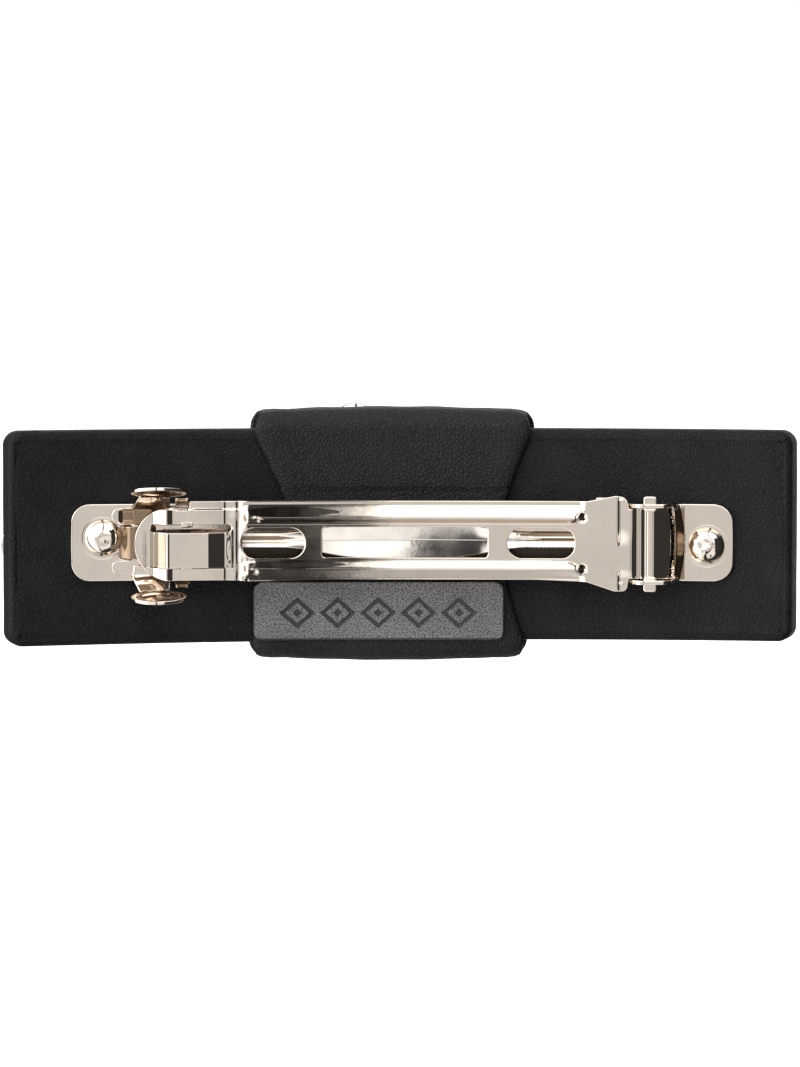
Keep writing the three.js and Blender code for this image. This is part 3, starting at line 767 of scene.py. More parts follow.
def arm_height(x, z):
    """The arm's outer face: ribs, tongue, sheared step, hinge crease and dents."""
    out = np.abs(z - ARM_CENTRE)
    last = 22.0 - 2.6 * np.clip(2.95 - out, 0, 0.65)
    body = smooth(x, -18.95, -18.25) * (1 - smooth(x, last - 0.45, last + 0.35))
    rim_tilt = 0.05 * np.clip(out - 4.35, 0, 1.2) * np.sign(z - ARM_CENTRE)
    height = along_arm(x) + (across_body(out) + rim_tilt - WEB) * body
    height = np.where((x < -18.2) & (z > 3.9), height - 0.28 * smooth(z, 4.06, 4.2) * (1 - body), height)
    on_tongue = (z > TONGUE[0] - 0.05) & (z < (TONGUE[1] + STRIP_INNER[1]) / 2) & (x > -30.6) & (x < -20.0)
    height = np.where(on_tongue, along_tongue(x), height)
    sheared = smooth(x, -20.9, -20.4) * (1 - smooth(x, -19.2, -18.6))
    height = height + 0.07 * sheared * crumple(x, z)
    strength = 0.12 + 0.88 * (smooth(z, -0.5, 2.0) + smooth(-z, 3.0, 4.2))
    height = height - 0.2 * strength * smooth(x, 26.0, 26.5) * (1 - smooth(x, 26.7, 28.3))
    for side in (-1, 1):
        crest = ARM_CENTRE + side * 3.08
        height = height - 0.5 * dimple(x, z, 21.9, crest, 0.35)
    for dot_x, dot_z in RIB_DOTS:
        height = height - 0.1 * dimple(x, z, dot_x, dot_z, 0.28)
    return height


def edge_followers():
    """Narrow loops beside the drawn-in edge, so that the mesh follows it."""
    xs = np.arange(-17.4, 21.4, 0.3)
    loops = []
    for outer, inner in ((0.17, 0.24), (0.32, 0.41)):
        near = np.stack([xs, outer - 4.62 + arm_waist(xs)], -1)
        far = np.stack([xs[::-1], inner - 4.62 + arm_waist(xs[::-1])], -1)
        loops.append(np.concatenate([near, far]))
    return loops


def arm_sheet():
    rim = outline(
        [
            (-31.9, -4.46, 4.25),
            (-19.6, -4.46, 0.5),
            (-18.0, -4.62, 0.5),
            (22.4, -4.62, 0.8),
            (25.8, -5.75, 0.5),
            (27.25, -5.75, 0.7),
            (27.45, -4.22, 0.12),
            (32.35, -4.22, 0.6),
            (32.6, -1.5, 2.0),
            (32.6, 1.5, 2.0),
            (32.35, 4.22, 0.6),
            (27.45, 4.22, 0.12),
            (27.3, 5.6, 1.1),
            (25.9, 5.78, 0.4),
            (22.4, 5.1, 0.8),
            (-25.2, 5.1, 0.15),
            (-25.3, 4.28, 0.1),
            (-31.9, 4.28, 4.25),
        ],
        0.2,
    )
    holes = [
        slot(SLIT[0], SLIT[1], TONGUE[1], STRIP_INNER[1], 0.3, step=0.12),
        slot(SLIT[0], SLIT[1] - 0.6, STRIP_INNER[0], TONGUE[0], 0.045, step=0.12),
        slot(-19.2, -11.4, -1.78, 1.86, 1.7, 1.8),
        slot(-9.4, 10.6, -1.73, 1.95, 0.45),
        slot(12.9, 21.0, -1.78, 1.86, 1.8, 1.6),
    ]
    lower = rim[:, 1] < -4.5
    rim[lower, 1] += arm_waist(rim[lower, 0])
    sections = [ARM_CENTRE + side * z for side in (-1, 1) for z, _ in BODY_PATH[1:6]]
    sections.extend([4.13, ARM_CENTRE - 3.75])
    turns = [x for x, _ in ARM_PATH[1:-1] + TONGUE_PATH[1:-1]] + [-20.2, -17.9, -17.3, 21.7, 22.1, 26.3, 27.2]

    def surface(x, z):
        return on_clasp(x, z, arm_height(x, z))

    return pressing(rim, holes, surface, SHEET, 0.07, 0.4, 1, (turns, sections), edge_followers())


def pivot_lug(side):
    """A tongue of the arm that turns in an ear of the plate."""
    rim = slot(PIVOT_X - 0.8, PIVOT_X + 0.8, 3.9, 5.75, 0.35, step=0.12)
    rise = profile([(3.0, 3.76), (4.1, 3.72), (4.5, 3.5), (6.0, 3.5)], 0.25)

    def surface(x, z):
        return on_clasp(x, side * z, rise(z))

    return pressing(rim, [], surface, 0.62, 0.14, 0.2, -side)


def wing_flange(side):
    """The edge of the hinge plate, folded down beside the plate."""
    path = [(5.1, 3.9), (5.55, 3.85), (5.74, 2.3)] if side > 0 else [(4.5, 3.9), (5.0, 3.85), (5.2, 2.3)]
    left = 23.6 if side > 0 else 24.4
    surface, lengths = folded(path, side, 0.2)
    end = lengths[-1]
    rim = outline([(left, 0.05, 0.1), (26.9, 0.05, 0.1), (26.9, end, 0.5), (left, end, 0.5)], 0.15)
    return pressing(rim, [], surface, 0.4, 0.06, 0.2, side)


ARM_PIECE = new_piece(
    "clasp_arm_pressing",
    *tidy(*together(arm_sheet(), pivot_lug(1), pivot_lug(-1), wing_flange(1), wing_flange(-1))),
    NICKEL,
    "arm",
    ["clasp_arm"],
)


def rib_shadow(at, facing):
    """Painted shade and dark reflection on the upper slope of each rib near the latch, narrowing to a point.
    """
    upper = at.z > 0
    out = abs(at.z - ARM_CENTRE)
    share = 1 - ((at.x + (13.4 if upper else 12.8)) / 6.6) ** 2
    centre, reach = (3.72, 0.6) if upper else (2.62, 0.5)
    return facing.y < 0 and at.x > -18.1 and abs(out - centre) < reach * share


def rib_dent_shade(at, facing):
    """The small dents where the two ribs end beside the hinge plate, painted dark as shade."""
    return abs(at.x - 21.85) < 0.3 and abs(abs(at.z - ARM_CENTRE) - 3.12) < 0.42


repaint(ARM_PIECE, PAINTED_DARK, rib_shadow)
# Painted shade in the small dents at the ribs' ends.
repaint(ARM_PIECE, PAINTED_SHADOW, rib_dent_shade)

# ---------------------------------------------------------------- tension bar

bar_low, bar_high = corners("tension_bar")
BAR_LEFT, BAR_RIGHT = bar_low[0], bar_high[0]
BAR_CENTRE = 0.25
BAR_END, BAR_BELLY = 0.85, 2.1
BAR_FOOT, BAR_BOW, BAR = 1.15, 0.95, 0.35


def tension_bar():
    """The bowed strip with a crease along it."""
    middle, half = (BAR_LEFT + BAR_RIGHT) / 2, (BAR_RIGHT - BAR_LEFT) / 2

    def width(x):
        return BAR_END + (BAR_BELLY - BAR_END) * (1 - smooth(np.abs(x - 0.6), 5.0, 15.0))

    xs = np.linspace(BAR_LEFT, BAR_RIGHT, 160)
    rim = np.concatenate([np.stack([xs, -width(xs)], -1), np.stack([xs[::-1], width(xs[::-1])], -1)])
    valley = profile([(-1.5, 1.0), (0, 0), (1.5, 1.0)], 0.07)

    def surface(x, z):
        share = (x - middle) / half
        steep = 1 + 1.6 * smooth(np.abs(x), 9.0, 15.0)
        crease = 0.3 * steep * valley(z / BAR_BELLY)
        bow = BAR_BOW * np.cos(np.clip(share, -1, 1) * math.pi / 2) ** 2
        twist = 0.0005 * np.clip(x, -11, 11) ** 2 * z
        return on_clasp(x, z + BAR_CENTRE, BAR_FOOT + BAR + bow + crease + twist)

    bends = ((), (-0.1, 0.0, 0.1))
    return pressing(rim, [], surface, BAR, 0.06, 0.35, 1, bends)


# The tension bar wears the lighter copy of the nickel: painted light.
BAR_PIECE = new_piece("tension_spring_bar", *tidy(*tension_bar()), LIT_NICKEL, "spring_bar", ["tension_bar"])


def bar_painted_reflection(at, facing):
    """Painted brown reflections in streaks along the bar near its two ends."""
    left = min(1.0, (-12.2 - at.x) / 2.5)
    right = min(1.0, (at.x - 13.4) / 3.0)
    near_latch = abs(at.z - 0.52) < 0.24 * left or abs(at.z + 0.07) < 0.09 * left
    near_hinge = abs(at.z - 0.2) < 0.12 * right or abs(at.z - 0.95) < 0.25 * right
    return near_latch or near_hinge


# Painted brown reflections along the bar's ends.
repaint(BAR_PIECE, SHADED, bar_painted_reflection)
# Painted shadow: a dark streak along the bar towards the hinge end.
repaint(BAR_PIECE, PAINTED_SHADOW, lambda at, facing: abs(at.z - 0.41) < 0.09 * min(1.0, (at.x - 15.5) / 2.0))

# ---------------------------------------------------------------- latch


def latch_saddle():
    """The forked foot that lies on the plate."""
    rim = outline(
        [
            (-24.9, 4.2, 0.4),
            (-34.7, 4.2, 1.02),
            (-34.7, 2.13, 1.02),
            (-32.3, 2.13, 0.3),
            (-32.3, -2.15, 0.3),
            (-34.7, -2.15, 0.85),
            (-34.7, -3.9, 0.85),
            (-24.9, -3.9, 0.4),
            (-24.9, -2.15, 0.4),
            (-30.9, -2.15, 0.3),
            (-30.9, 2.13, 0.3),
            (-24.9, 2.13, 0.4),
        ],
        0.2,
    )

    def surface(x, z):
        dish = smooth(x, -34.0, -33.3) * (1 - smooth(np.abs(z - 3.15), 0.6, 0.95)) * (z > 0)
        return on_clasp(x, z, 1.07 - 0.25 * dish)

    return pressing(rim, [], surface, 0.4, 0.08, 0.2)


def foot_dish_shade(at, facing):
    """The dished end of the foot's upper prong, painted brown as reflection and shade."""
    past_rim = at.x > -33.9 + 0.5 * (at.z - 3.15) ** 2
    return facing.y < 0 and past_rim and 2.2 < at.z < 4.1


FOOT_PIECE = new_piece("latch_forked_foot", *tidy(*latch_saddle()), NICKEL, "root", ["latch_saddle"])
# Painted brown reflection in the dish of the foot's upper prong.
repaint(FOOT_PIECE, SHADED, foot_dish_shade)

PAD_RADIUS = 3.32
PAD_X = -28.85


def latch_lever(side):
    """One folded sheet: barb, finger, foot, wall and the dished finger pad."""
    barb = 1.95 if side > 0 else 2.45
    top, lean = (6.0, 0.187) if side > 0 else (6.05, 0.126)
    path = [(barb + 0.75, 4.2), (barb, 4.24), (barb, 1.3), (4.2, 1.3), (top, 3.4), (top + 6.6 * lean, 10.0)]
    surface_at, lengths = folded(path, side, 0.3)
    foot_start, fold, wall_top = lengths[2], lengths[3], lengths[4]
    centre = wall_top + PAD_RADIUS - 0.15
    rim = [
        (-24.9, 0.0, 0.15),
        (-24.9, fold - 0.2, 0.3),
        (-27.7, fold - 0.2, 0.2),
        (-27.7, wall_top, 0.3),
    ]
    pad = []
    for degrees in range(-52, 233, 6):
        angle = math.radians(degrees)
        pad.append((PAD_X + PAD_RADIUS * math.cos(angle), centre + PAD_RADIUS * math.sin(angle), 0))
    left = [
        (-31.3, wall_top, 0.3),
        (-32.3, fold + 0.2, 0.3),
        (-32.0, foot_start + 0.25, 0.2),
        (-26.2, foot_start + 0.25, 0.2),
        (-26.2, 0.0, 0.15),
    ]
    rim = outline(rim + pad + left, 0.2)
    dish = profile([(-1, 0.34), (1.2, 0.3), (2.2, 0.22), (2.62, 0.0), (4.0, 0.0)], 0.15)

    def surface(x, s):
        base = surface_at(x, s)
        distance = np.hypot(x - PAD_X, s - centre)
        deep = dish(distance) * (distance < 4)
        ahead = surface_at(x, s + 0.02) - surface_at(x, s - 0.02)
        ahead /= np.linalg.norm(ahead, axis=-1)[..., None]
        outward = np.cross(ahead, np.array([1.0, 0, 0])) * side
        return base + outward * (deep * (s > wall_top - 0.4))[..., None]

    return pressing(rim, [], surface, 0.4, 0.08, 0.3, -side)


for side, name in ((1, "upper"), (-1, "lower")):
    lever = new_piece(
        f"latch_{name}_lever",
        *tidy(*latch_lever(side)),
        NICKEL,
        f"lever_{name}",
        [f"latch_lever_{name}"],
    )
    if side > 0:
        # Painted brown reflection on the upper lever's foot.
        repaint(lever, SHADED, lambda at, facing: at.z < 5.0 and at.x < -27.0 and facing.y < -0.3)

# ---------------------------------------------------------------- rivets


def rivet_piece(side):
    """A hammered dome, its shank and its clenched tail."""
    spot = rivet_spot(side)
    slope = math.asin(spot[0] / CLASP_RADIUS)
    base = PLATE + 0.04
    section = [(0, -3.75), (1.3, -3.75), (1.65, -3.5), (1.7, -3.25)]
    section.extend([(1.0, -3.22), (1.0, base), (RIVET_DOME - 0.1, base)])
    for degrees in range(4, 90, 4):
        angle = math.radians(degrees)
        section.append((RIVET_DOME * math.cos(angle), base + 1.22 * (1 - math.cos(angle) ** 3.6)))
    section.append((0, base + 1.22))

    def place(points):
        a, b, h = points.T
        dent = [noise.noise(Vector((u * 0.9 + spot[0], v * 0.9, 3.0))) for u, v in zip(a, b)]
        fine = [noise.noise(Vector((u * 3.1, v * 3.1 + spot[0], 8.0))) for u, v in zip(a, b)]
        h = h + (0.13 * np.array(dent) + 0.012 * np.array(fine)) * smooth(h, base + 0.1, base + 0.9)
        x = spot[0] + a * math.cos(slope) - h * math.sin(slope)
        y = GRIP_HEIGHT - clasp_depth(spot[0]) - h * math.cos(slope) - a * math.sin(slope)
        return np.stack([x, y, spot[1] - b], -1)

    return turned(section, 72, place)


for side in ("left", "right"):
    new_piece(f"rivet_{side}_dome", *rivet_piece(side), NICKEL, "root", [f"rivet_{side}"])

# ---------------------------------------------------------------- bow

BOW_HALF_LENGTH = 47.06
BOW_HALF_HEIGHT = 12.85
BOW_CENTRE = 0.63
RIM = 0.32


def bow_outline(grow, radius):
    """The bow's plan, a little deeper at its left end; grow moves the edge outwards."""
    half_length, half_height = BOW_HALF_LENGTH + grow, BOW_HALF_HEIGHT + grow
    loop = slot(-half_length, half_length, -half_height, half_height, radius, step=0.5)
    loop[:, 1] = loop[:, 1] * (1 - 0.00024 * loop[:, 0]) + BOW_CENTRE + 0.004 * loop[:, 0]
    return loop


def wave(x, z):
    """Slow unevenness of a glued leather face."""
    return 0.05 * np.sin(0.31 * x + 0.6) * np.cos(0.47 * z + 0.2) + 0.035 * np.sin(0.83 * x + 0.37 * z)


def pillow(loop, back, front, round_back, round_front, pitch):
    """A solid between two faces, with rounded edges all round, both faces on the bow's arc."""
    loop = wound(loop, 1)
    largest = max(round_back, round_front)
    shares = (0.0, 0.06, 0.2, 0.42, 0.7, 1.0, 1.3)
    points, gaps, edges = [], [], []
    for share in shares:
        first = len(points)
        points.extend(inset(loop, share * largest))
        gaps.extend([share * largest] * len(loop))
        edges.extend(closed(first, len(loop)))
    low, high = loop.min(0), loop.max(0)
    grid_u, grid_v = np.arange(low[0], high[0], pitch), np.arange(low[1], high[1], pitch)
    grid = np.stack(np.meshgrid(grid_u, grid_v), -1).reshape(-1, 2)
    grid = grid[inside(grid, [loop])]
    grid = grid[clearance(grid, [loop]) > largest * 1.3 + pitch * 0.4]
    points.extend(grid)
    gaps.extend([99.0] * len(grid))
    flat, origin, kept = filled(points, edges, [loop])
    gap = np.array([gaps[o[0]] if o else 0.0 for o in origin])

    def drop(radius):
        t = np.clip(1 - gap / radius, 0, 1)
        return radius * (1 - np.sqrt(1 - t**2))

    x, z = flat.T
    top = on_bow(x, z, back(x, z) - drop(round_back))
    bottom = on_bow(x, z, front(x, z) + drop(round_front))
    count = len(flat)
    sides = {(int(f[i]), int(f[(i + 1) % 3])) for f in kept for i in range(3)}
    walls = [(end, start, start + count, end + count) for start, end in sides if (end, start) not in sides]
    faces = [tuple(f) for f in kept] + [tuple(f[::-1] + count) for f in kept] + walls
    return np.concatenate([top, bottom]), faces


def carve(piece, tool_parts):
    """Cuts a closed tool out of a piece for good."""
    mesh = mesh_of("tool", *tool_parts)
    mesh.update()
    tool = bpy.data.objects.new("tool", mesh)
    bpy.context.collection.objects.link(tool)
    cutter = piece.modifiers.new("carve", "BOOLEAN")
    cutter.operation = "DIFFERENCE"
    cutter.solver = "EXACT"
    cutter.object = tool
    graph = bpy.context.evaluated_depsgraph_get()
    carved = bpy.data.meshes.new_from_object(piece.evaluated_get(graph))
    piece.modifiers.clear()
    old = piece.data
    piece.data = carved
    carved.name = old.name
    bpy.data.objects.remove(tool)
    bpy.data.meshes.remove(mesh)
    return piece


def level(height):
    """A face of a pillow at one height."""
    return lambda x, z: height + 0 * x


def bow_front():
    """The front leather, hollowed from the back."""

    def back(x, z):
        return wave(x, z) * 0.5 - 0.02

    def front(x, z):
        crown = 0.35 * (1 - (x / BOW_HALF_LENGTH) ** 2) * (1 - ((z - BOW_CENTRE) / BOW_HALF_HEIGHT) ** 2)
        return -BOW_THICKNESS - crown + wave(z, x)

    solid = pillow(bow_outline(0, 1.75), back, front, 0.75, 1.6, 1.4)
    nodes = ["band_front_leather"]
    piece = new_piece("bow_front_leather", *tidy(*solid), BAND, "root", nodes, "band_leather")
    inside_front = level(-(BOW_THICKNESS - LEATHER))
    return carve(piece, pillow(bow_outline(-LEATHER, 0.8), level(2.0), inside_front, 0.05, 0.6, 3.0))


def bow_back():
    """The back panel, with the turned edge's ridge round it."""

    def back(x, z):
        edge = np.minimum(BOW_HALF_HEIGHT - np.abs(z - BOW_CENTRE), BOW_HALF_LENGTH - np.abs(x))
        ridge = 0.13 * bump(z, BOW_CENTRE - BOW_HALF_HEIGHT + 1.25, 0.32) * smooth(edge, 0.4, 0.9)
        ridge = ridge + 0.12 * bump(z, BOW_CENTRE + BOW_HALF_HEIGHT - 0.95, 0.26) * smooth(edge, 0.4, 0.8)
        return 0.1 * smooth(edge, RIM, RIM + 2.5) + ridge - 0.02 + wave(x, z)

    solid = pillow(bow_outline(-RIM, 0.75), back, level(-LEATHER + 0.02), 0.75, 0.1, 0.8)
    return new_piece("bow_back_leather", *tidy(*solid), BAND, "root", ["band_back_leather"], "band_leather")


bow_front()
bow_back()

foam_back, foam_front = level(-2 * LEATHER - 0.15), level(-BOW_THICKNESS + LEATHER + 0.1)
foam = pillow(bow_outline(-RIM - 0.45, 0.9), foam_back, foam_front, 0.3, 0.5, 3.0)
FOAM_PIECE = new_piece("bow_foam", *tidy(*foam), FOAM, "root", ["band_foam"], "foam")

# ---------------------------------------------------------------- knot

WRAP_LEFT, WRAP_RIGHT = -17.6, 15.8
WRAP_HALF, WRAP_CENTRE = 14.85, 0.7
WRAP_BACK = 0.03
WRAP_FRONT = -(BOW_THICKNESS + 1.8)
WAIST = (-13.6, 12.6)


def loop_section(half_z, back, front, radius, count):
    """Points round a rounded rectangle in (z, h), starting at the middle of the back."""
    loop = slot(-half_z, half_z, front, back, radius, step=0.35)
    whole = np.vstack([loop, loop[:1]])
    lengths = lengths_along(whole)
    start = lengths[np.argmin(np.hypot(loop[:, 0], loop[:, 1] - back))]
    marks = (start + np.linspace(0, lengths[-1], count, endpoint=False)) % lengths[-1]
    return np.interp(marks, lengths, whole[:, 0]), np.interp(marks, lengths, whole[:, 1])


def wrap_edges(z, h):
    """The wrap's left and right edges where its loop passes (z, h)."""
    height = z + WRAP_CENTRE
    on_back = smooth(h, WRAP_BACK - 1.2, WRAP_BACK - 0.2)
    spread = np.where(height > 0, np.clip((height - 4.4) / 9.0, 0, 1), np.clip((-height - 4.2) / 8.2, 0, 1))
    pinch = on_back * (1 - spread)
    below = smooth(-height, 4.0, 12.0)
    left = WRAP_LEFT + (WAIST[0] - WRAP_LEFT) * pinch - 0.3 * below
    right = WRAP_RIGHT + (WAIST[1] - WRAP_RIGHT) * pinch - 0.75 * below
    past = np.clip(np.abs(z) - (WRAP_HALF - 1.9), 0, 1.9)
    corner = 1.9 - np.sqrt(np.maximum(0, 1.9**2 - past**2))
    share = np.where(height > 0, 0.42, 0.24)
    return left + share * corner, right - share * corner


def fallen(w, depth):
    """How far the wrap's rounded edge has fallen away at a share w of its half width."""
    edge = 1 - np.clip((1 - abs(w)) / 0.05, 0, 1)
    return depth * (1 - math.sqrt(1 - min(edge, 1) ** 2))


def between_rings(rows, size, joined=False):
    """Faces between closed rings of points; joined also ties the last ring to the first."""
    faces = []
    for i in range(rows if joined else rows - 1):
        here, there = i * size, (i + 1) % rows * size
        for j in range(size):
            k = (j + 1) % size
            faces.append((here + j, here + k, there + k, there + j))
    return faces


def knot_wrap():
    """The wide leather loop, puffed between its edges and drawn in at the back."""
    around = 300
    side = np.array([0.88, 0.95, 0.985, 1])
    across = np.concatenate([-side[::-1], np.linspace(-0.78, 0.78, 30), side])
    inner_z, inner_h = loop_section(WRAP_HALF - LEATHER, WRAP_BACK, WRAP_FRONT, 1.3, around)
    outer_z, outer_h = loop_section(WRAP_HALF, WRAP_BACK + LEATHER, WRAP_FRONT - LEATHER, 2.3, around)
    outward = np.stack([outer_z - inner_z, outer_h - inner_h], -1)
    outward /= np.linalg.norm(outward, axis=1)[:, None]
    left, right = wrap_edges(outer_z, outer_h)
    crown = 0.15 + 0.32 * np.clip(outward[:, 0], 0, 1) + 0.4 * np.clip(-outward[:, 0], 0, 1)
    on_back = smooth(outer_h, 0, 0.8)
    rings = []

    def add_ring(x, z, h, lift):
        rings.append(on_bow(x, z + outward[:, 0] * lift + WRAP_CENTRE, h + outward[:, 1] * lift))

    for w in across:
        x = (left + right) / 2 + w * (right - left) / 2
        puff = crown * (1 - w**2) - fallen(w, 0.5)
        fold = 0.12 * bump(abs(w), 0.9, 0.05)
        ripple = 0.05 * np.sin(0.9 * x + 0.5 * outer_z) * np.cos(0.33 * outer_z + 0.2 * outer_h)
        lift = (puff + fold) * (1 - 0.75 * on_back * (np.abs(outer_z) < 5.5)) + ripple
        add_ring(x, outer_z, outer_h, lift)
    for w in across[::-1]:
        x = (left + right) / 2 + w * (right - left) / 2
        add_ring(x, inner_z, inner_h, fallen(w, 0.45))
    return np.concatenate(rings), between_rings(len(rings), around, joined=True)


def facing_out(points, faces):
    """Turns a closed mesh's faces outwards."""
    p = np.asarray(points)
    volume = 0.0
    for f in faces:
        for k in range(1, len(f) - 1):
            volume += np.dot(p[f[0]], np.cross(p[f[k]], p[f[k + 1]]))
    return (points, faces) if volume > 0 else (points, [tuple(f[::-1]) for f in faces])


new_piece("knot_wrap_leather", *facing_out(*knot_wrap()), WRAP, "root", ["knot_wrap"], "wrap_leather")


def knot_padding():
    """A C of foam over the top, front and bottom of the band."""
    gap = 0.12
    half, inner_half = WRAP_HALF - LEATHER - gap, BOW_HALF_HEIGHT + 0.3
    front, inner_front = WRAP_FRONT + gap, -BOW_THICKNESS - 0.45
    back = -1.35
    section = outline(
        [
            (-half, back, 0.3),
            (-inner_half, back, 0.3),
            (-inner_half, inner_front, 0.1),
            (inner_half, inner_front, 0.1),
            (inner_half, back, 0.3),
            (half, back, 0.3),
            (half, front, 1.3),
            (-half, front, 1.3),
        ],
        0.8,
    )
    xs = np.linspace(WRAP_LEFT + 2.6, WRAP_RIGHT - 2.6, 26)
    rings = [on_bow(np.full(len(section), x), section[:, 0] + WRAP_CENTRE, section[:, 1]) for x in xs]
    size = len(section)
    faces = between_rings(len(xs), size)
    faces.append(tuple(range(size))[::-1])
    faces.append(tuple(range((len(xs) - 1) * size, len(xs) * size)))
    return np.concatenate(rings), faces


PADDING = new_piece("knot_foam", *facing_out(*knot_padding()), FOAM, "root", ["knot_padding"], "foam")

# ---------------------------------------------------------------- label patch

PATCH_LEFT, PATCH_RIGHT = -17.9, 12.7
PATCH_BOTTOM, PATCH_TOP = -12.0, corners("label_patch")[1][2]
PATCH_SHEET = 0.6
DEBOSS = 0.13


def groove(distance, half_width, wall=0.09):
    """1 in a groove and 0 beside it."""
    return 1 - smooth(np.abs(distance), half_width - wall, half_width + wall)


def patch_motif(x, z):
    """A row of lozenges pressed round their edges: 1 where the leather is pressed in."""
    middle_x, middle_z = (PATCH_LEFT + PATCH_RIGHT) / 2, (PATCH_TOP + PATCH_BOTTOM) / 2 - 0.2
    spacing = 4.9
    row = np.clip(np.round((x - middle_x) / spacing), -2, 2)
    dx = np.abs(x - middle_x - row * spacing)
    lozenge = (dx / 2.0 + np.abs(z - middle_z) / 1.75) * 1.32
    pressed = groove(lozenge - 1.2, 0.24, 0.1)
    return np.clip(np.maximum(pressed, 1 - smooth(lozenge, 0.28, 0.5)), 0, 1)


def label_patch():
    rim = slot(PATCH_LEFT, PATCH_RIGHT, PATCH_BOTTOM, PATCH_TOP, 1.2)
    outer = WRAP_BACK + LEATHER + 0.18 + PATCH_SHEET

    def surface(x, z):
        return on_bow(x, z, outer - DEBOSS * patch_motif(x, z) + 0.4 * wave(x, z))

    return pressing(rim, [], surface, PATCH_SHEET, 0.16, 0.11)


PATCH_PIECE = new_piece(
    "label_patch_leather", *tidy(*label_patch()), PATCH, "root", ["label_patch"], "patch_leather"
)
PATCH_PIECE.data.materials.append(PRESSED)
for polygon in PATCH_PIECE.data.polygons:
    spot = np.array(polygon.center) / MM
    pressed = patch_motif(np.array([spot[0]]), np.array([spot[2]]))[0] > 0.45
    near_edge = min(spot[0] - PATCH_LEFT, PATCH_RIGHT - spot[0], spot[2] - PATCH_BOTTOM) < 0.3
    if near_edge or (polygon.normal.y < -0.2 and pressed):
        polygon.material_index = 1

# ---------------------------------------------------------------- studs on the front


def stud(name, s, z, face, skirt=0.02):
    """A domed stud on the front, at s along the bow, standing on a face height."""
    low, high = corners(name)
    radius = float(high[2] - low[2]) / 2
    height = 0.62 * radius
    pin = 0.26 * radius
    section = [(0, -1.6), (pin, -1.55), (pin, -skirt), (radius * 0.94, -skirt), (radius, 0.06)]
    section.extend([(radius, 0.22), (radius * 0.93, 0.32)])
    for degrees in range(8, 90, 7):
        angle = math.radians(degrees)
        section.append((radius * 0.9 * math.cos(angle), 0.26 + (height - 0.26) * math.sin(angle)))
    section.append((0, height))
    angle = math.asin(s / BOW_RADIUS)

    def place(points):
        a, b, out = points.T
        along = a * math.cos(angle) + (BOW_RADIUS - face + 0.05 + out) * math.sin(angle)
        depth = (BOW_RADIUS - face + 0.05 + out) * math.cos(angle) - a * math.sin(angle) - BOW_RADIUS
        return np.stack([along, depth + GRIP_HEIGHT + CLASP_LIFT, z + b], -1)

    points, faces = facing_out(*turned(section, 48, place))
    return new_piece(f"{name}_dome", points, faces, SILVER, "root", [name], "stud_metal")


stud("stud_knot", -5.3, 13.65, WRAP_FRONT - LEATHER - 0.1, 0.8)
stud("stud_end_large", -44.6, -0.6, -BOW_THICKNESS)
stud("stud_end_small", -45.9, -3.9, -BOW_THICKNESS)

# ---------------------------------------------------------------- hidden CAD pieces keep their shape

for node, material in (
    ("band_board", BOARD),
    ("rivet_washer_left", NICKEL),
    ("rivet_washer_right", NICKEL),
):
    carried = frame["nodes"][node]
    carried.data.materials.clear()
    carried.data.materials.append(material)

# ---------------------------------------------------------------- stage, light and camera

FLOOR_DROP = 75.0


def floor():
    size = 3000.0
    height = cad_low[2] / MM - FLOOR_DROP
    spots = [(-size, -size, height), (size, -size, height), (size, size, height), (-size, size, height)]
    mesh = mesh_of("floor", spots, [(0, 1, 2, 3)])
    n = Nodes("floor_paper")
    cloud = n.noise(3.0, 2.0)
    tone = n.blend(n.ramp(cloud, 0.0, 1.0, 0.3, 0.7), (0.9, 0.9, 0.9), (0.92, 0.92, 0.92))
    mesh.materials.append(n.finish(tone, 0.9, specular_ior_level=0.1))
    piece = bpy.data.objects.new("floor", mesh)
    bpy.context.collection.objects.link(piece)
    piece.visible_glossy = False


def softbox(name, place, target, width, height, watts):
    light = bpy.data.lights.new(name, "AREA")
    light.shape = "RECTANGLE"
    light.size, light.size_y = width, height
    light.energy = watts
    lamp = bpy.data.objects.new(name, light)
    lamp.location = place
    lamp.rotation_euler = (Vector(target) - Vector(place)).to_track_quat("-Z", "Y").to_euler()
    lamp.visible_glossy = False
    bpy.context.collection.objects.link(lamp)


# How bright the tent is at each pitch above straight ahead, and all the rest of the way round.
PITCHES = (
    (-100, 0.6),
    (-68, 0.7),
    (-50, 1.2),
    (-22, 1.25),
    (-9, 0.82),
    (-1, 0.82),
    (9, 1.7),
    (20, 2.2),
    (98, 2.2),
    (118, 0.8),
)
BRIGHTEST = 2.5


def tent(n, pitch):
    """The tent's brightness, from the table of pitches."""
    share = n.maths("MULTIPLY_ADD", pitch, 1 / 360, 0.5)
    curve = n.add("ShaderNodeValToRGB", {"Fac": share})
    stops = curve.color_ramp.elements
    stops[0].position, stops[1].position = 0.0, 1.0
    stops[0].color = stops[1].color = (0.28, 0.28, 0.28, 1)
    for degrees, level in PITCHES:
        stop = stops.new(0.5 + degrees / 360)
        stop.color = (level / BRIGHTEST, level / BRIGHTEST, level / BRIGHTEST, 1)
    return n.maths("MULTIPLY", curve.outputs["Color"], BRIGHTEST)


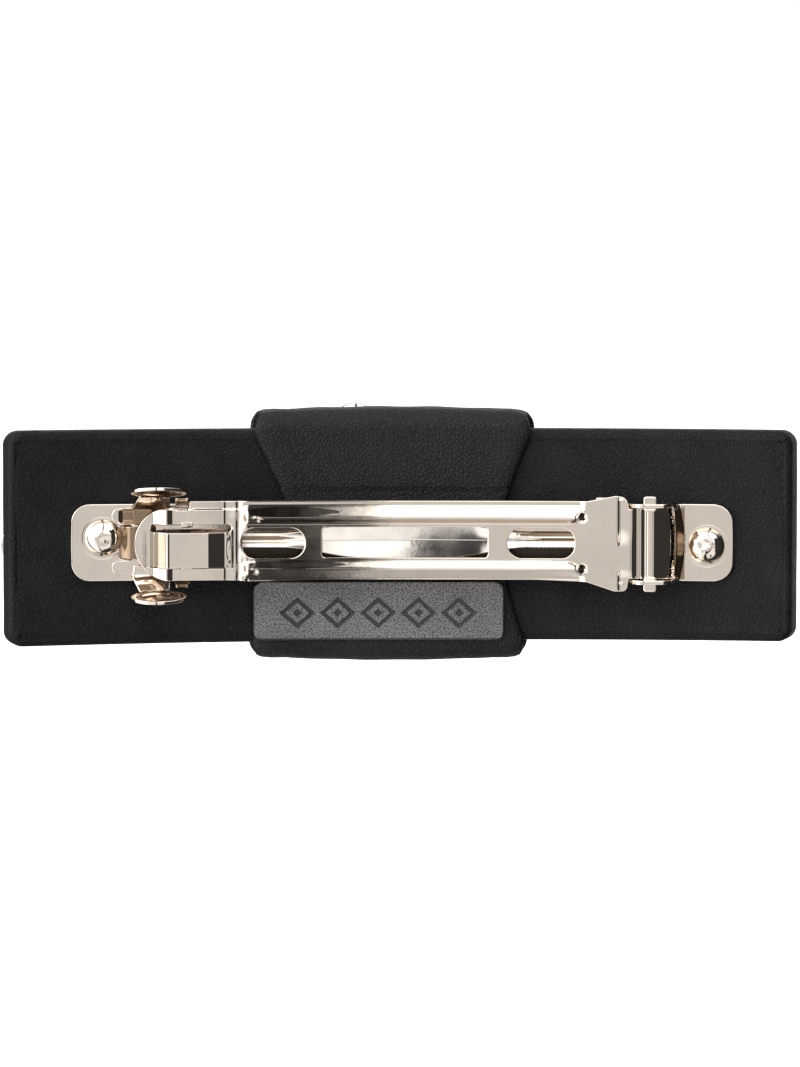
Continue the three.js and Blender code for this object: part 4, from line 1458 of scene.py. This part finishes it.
def studio():
    """A light tent: pale all round, brighter overhead, with a few dark gaps for the metal to show."""
    world = bpy.data.worlds.new("studio")
    bpy.context.scene.world = world
    world.use_nodes = True
    world.node_tree.nodes.clear()
    n = Tree(world.node_tree)
    direction = n.add("ShaderNodeTexCoord").outputs["Generated"]
    axis = n.add("ShaderNodeSeparateXYZ", {"Vector": direction}).outputs
    ahead = n.maths("MULTIPLY", axis["Y"], -1.0)
    azimuth = n.maths("MULTIPLY", n.maths("ARCTAN2", axis["X"], ahead), 180 / math.pi)
    pitch = n.maths("MULTIPLY", n.maths("ARCTAN2", axis["Z"], ahead), 180 / math.pi)
    elevation = n.maths("MULTIPLY", n.maths("ARCSINE", axis["Z"]), 180 / math.pi)
    base = tent(n, pitch)
    right_gap = n.band(azimuth, 36.0, 118.0, 5.0)
    left_gap = n.band(azimuth, -160.0, -116.0, 4.0)
    lens = n.maths("MULTIPLY", n.band(axis["X"], 0.016, 0.136, 0.004), n.band(pitch, -98.0, 98.0, 4.0))
    lens = n.maths("MULTIPLY", lens, n.maths("SUBTRACT", 1.0, n.band(pitch, -15.0, -6.4, 0.6)))
    low = n.ramp(elevation, 1.0, 0.0, 30.0, 55.0)
    gaps = n.maths("MULTIPLY", n.maths("MAXIMUM", right_gap, left_gap), low)
    dark = n.maths("MAXIMUM", gaps, lens)
    near_side = n.maths("MULTIPLY", n.band(azimuth, -110.0, -40.0, 6.0), low)
    side = n.maths("MULTIPLY_ADD", near_side, 1.6, 1.0)
    open_air = n.maths("MULTIPLY", n.maths("MULTIPLY", base, side), n.maths("SUBTRACT", 1.0, dark))
    strength = n.maths("ADD", open_air, n.maths("MULTIPLY", dark, 0.045))
    colour = n.blend(left_gap, (1.0, 1.0, 1.0), (1.0, 0.72, 0.48))
    seen = n.add("ShaderNodeBackground", {"Color": (1.0, 1.0, 1.0, 1), "Strength": 1.05}).outputs[0]
    lit = n.add("ShaderNodeBackground", {"Color": colour, "Strength": strength}).outputs[0]
    camera_ray = n.add("ShaderNodeLightPath").outputs["Is Camera Ray"]
    mixed = n.add("ShaderNodeMixShader", {0: camera_ray, 1: lit, 2: seen}).outputs[0]
    n.add("ShaderNodeOutputWorld", {"Surface": mixed})


PICTURE_HEIGHT = 129.107


def camera():
    """Square on to the clasp and a little above it."""
    distance, elevation = 0.7, math.radians(4.0)
    target = Vector((0.0, GRIP_HEIGHT, 0.9)) * MM
    data = bpy.data.cameras.new("camera")
    data.sensor_width = 36.0
    data.lens = data.sensor_width * distance / (PICTURE_HEIGHT * MM)
    data.clip_start, data.clip_end = 0.01, 20.0
    seat = bpy.data.objects.new("camera", data)
    seat.location = target + Vector((0.0, -math.cos(elevation), math.sin(elevation))) * distance
    seat.rotation_euler = (target - seat.location).to_track_quat("-Z", "Y").to_euler()
    bpy.context.collection.objects.link(seat)
    bpy.context.scene.camera = seat


floor()
studio()
softbox("key_softbox", (-0.15, -0.5, 0.75), (0, 0, 0), 0.7, 0.5, 9.0)
softbox("front_softbox", (0.35, 0.7, 0.5), (0, 0, 0), 0.5, 0.5, 5.0)
camera()
bpy.context.scene.view_settings.view_transform = "Standard"
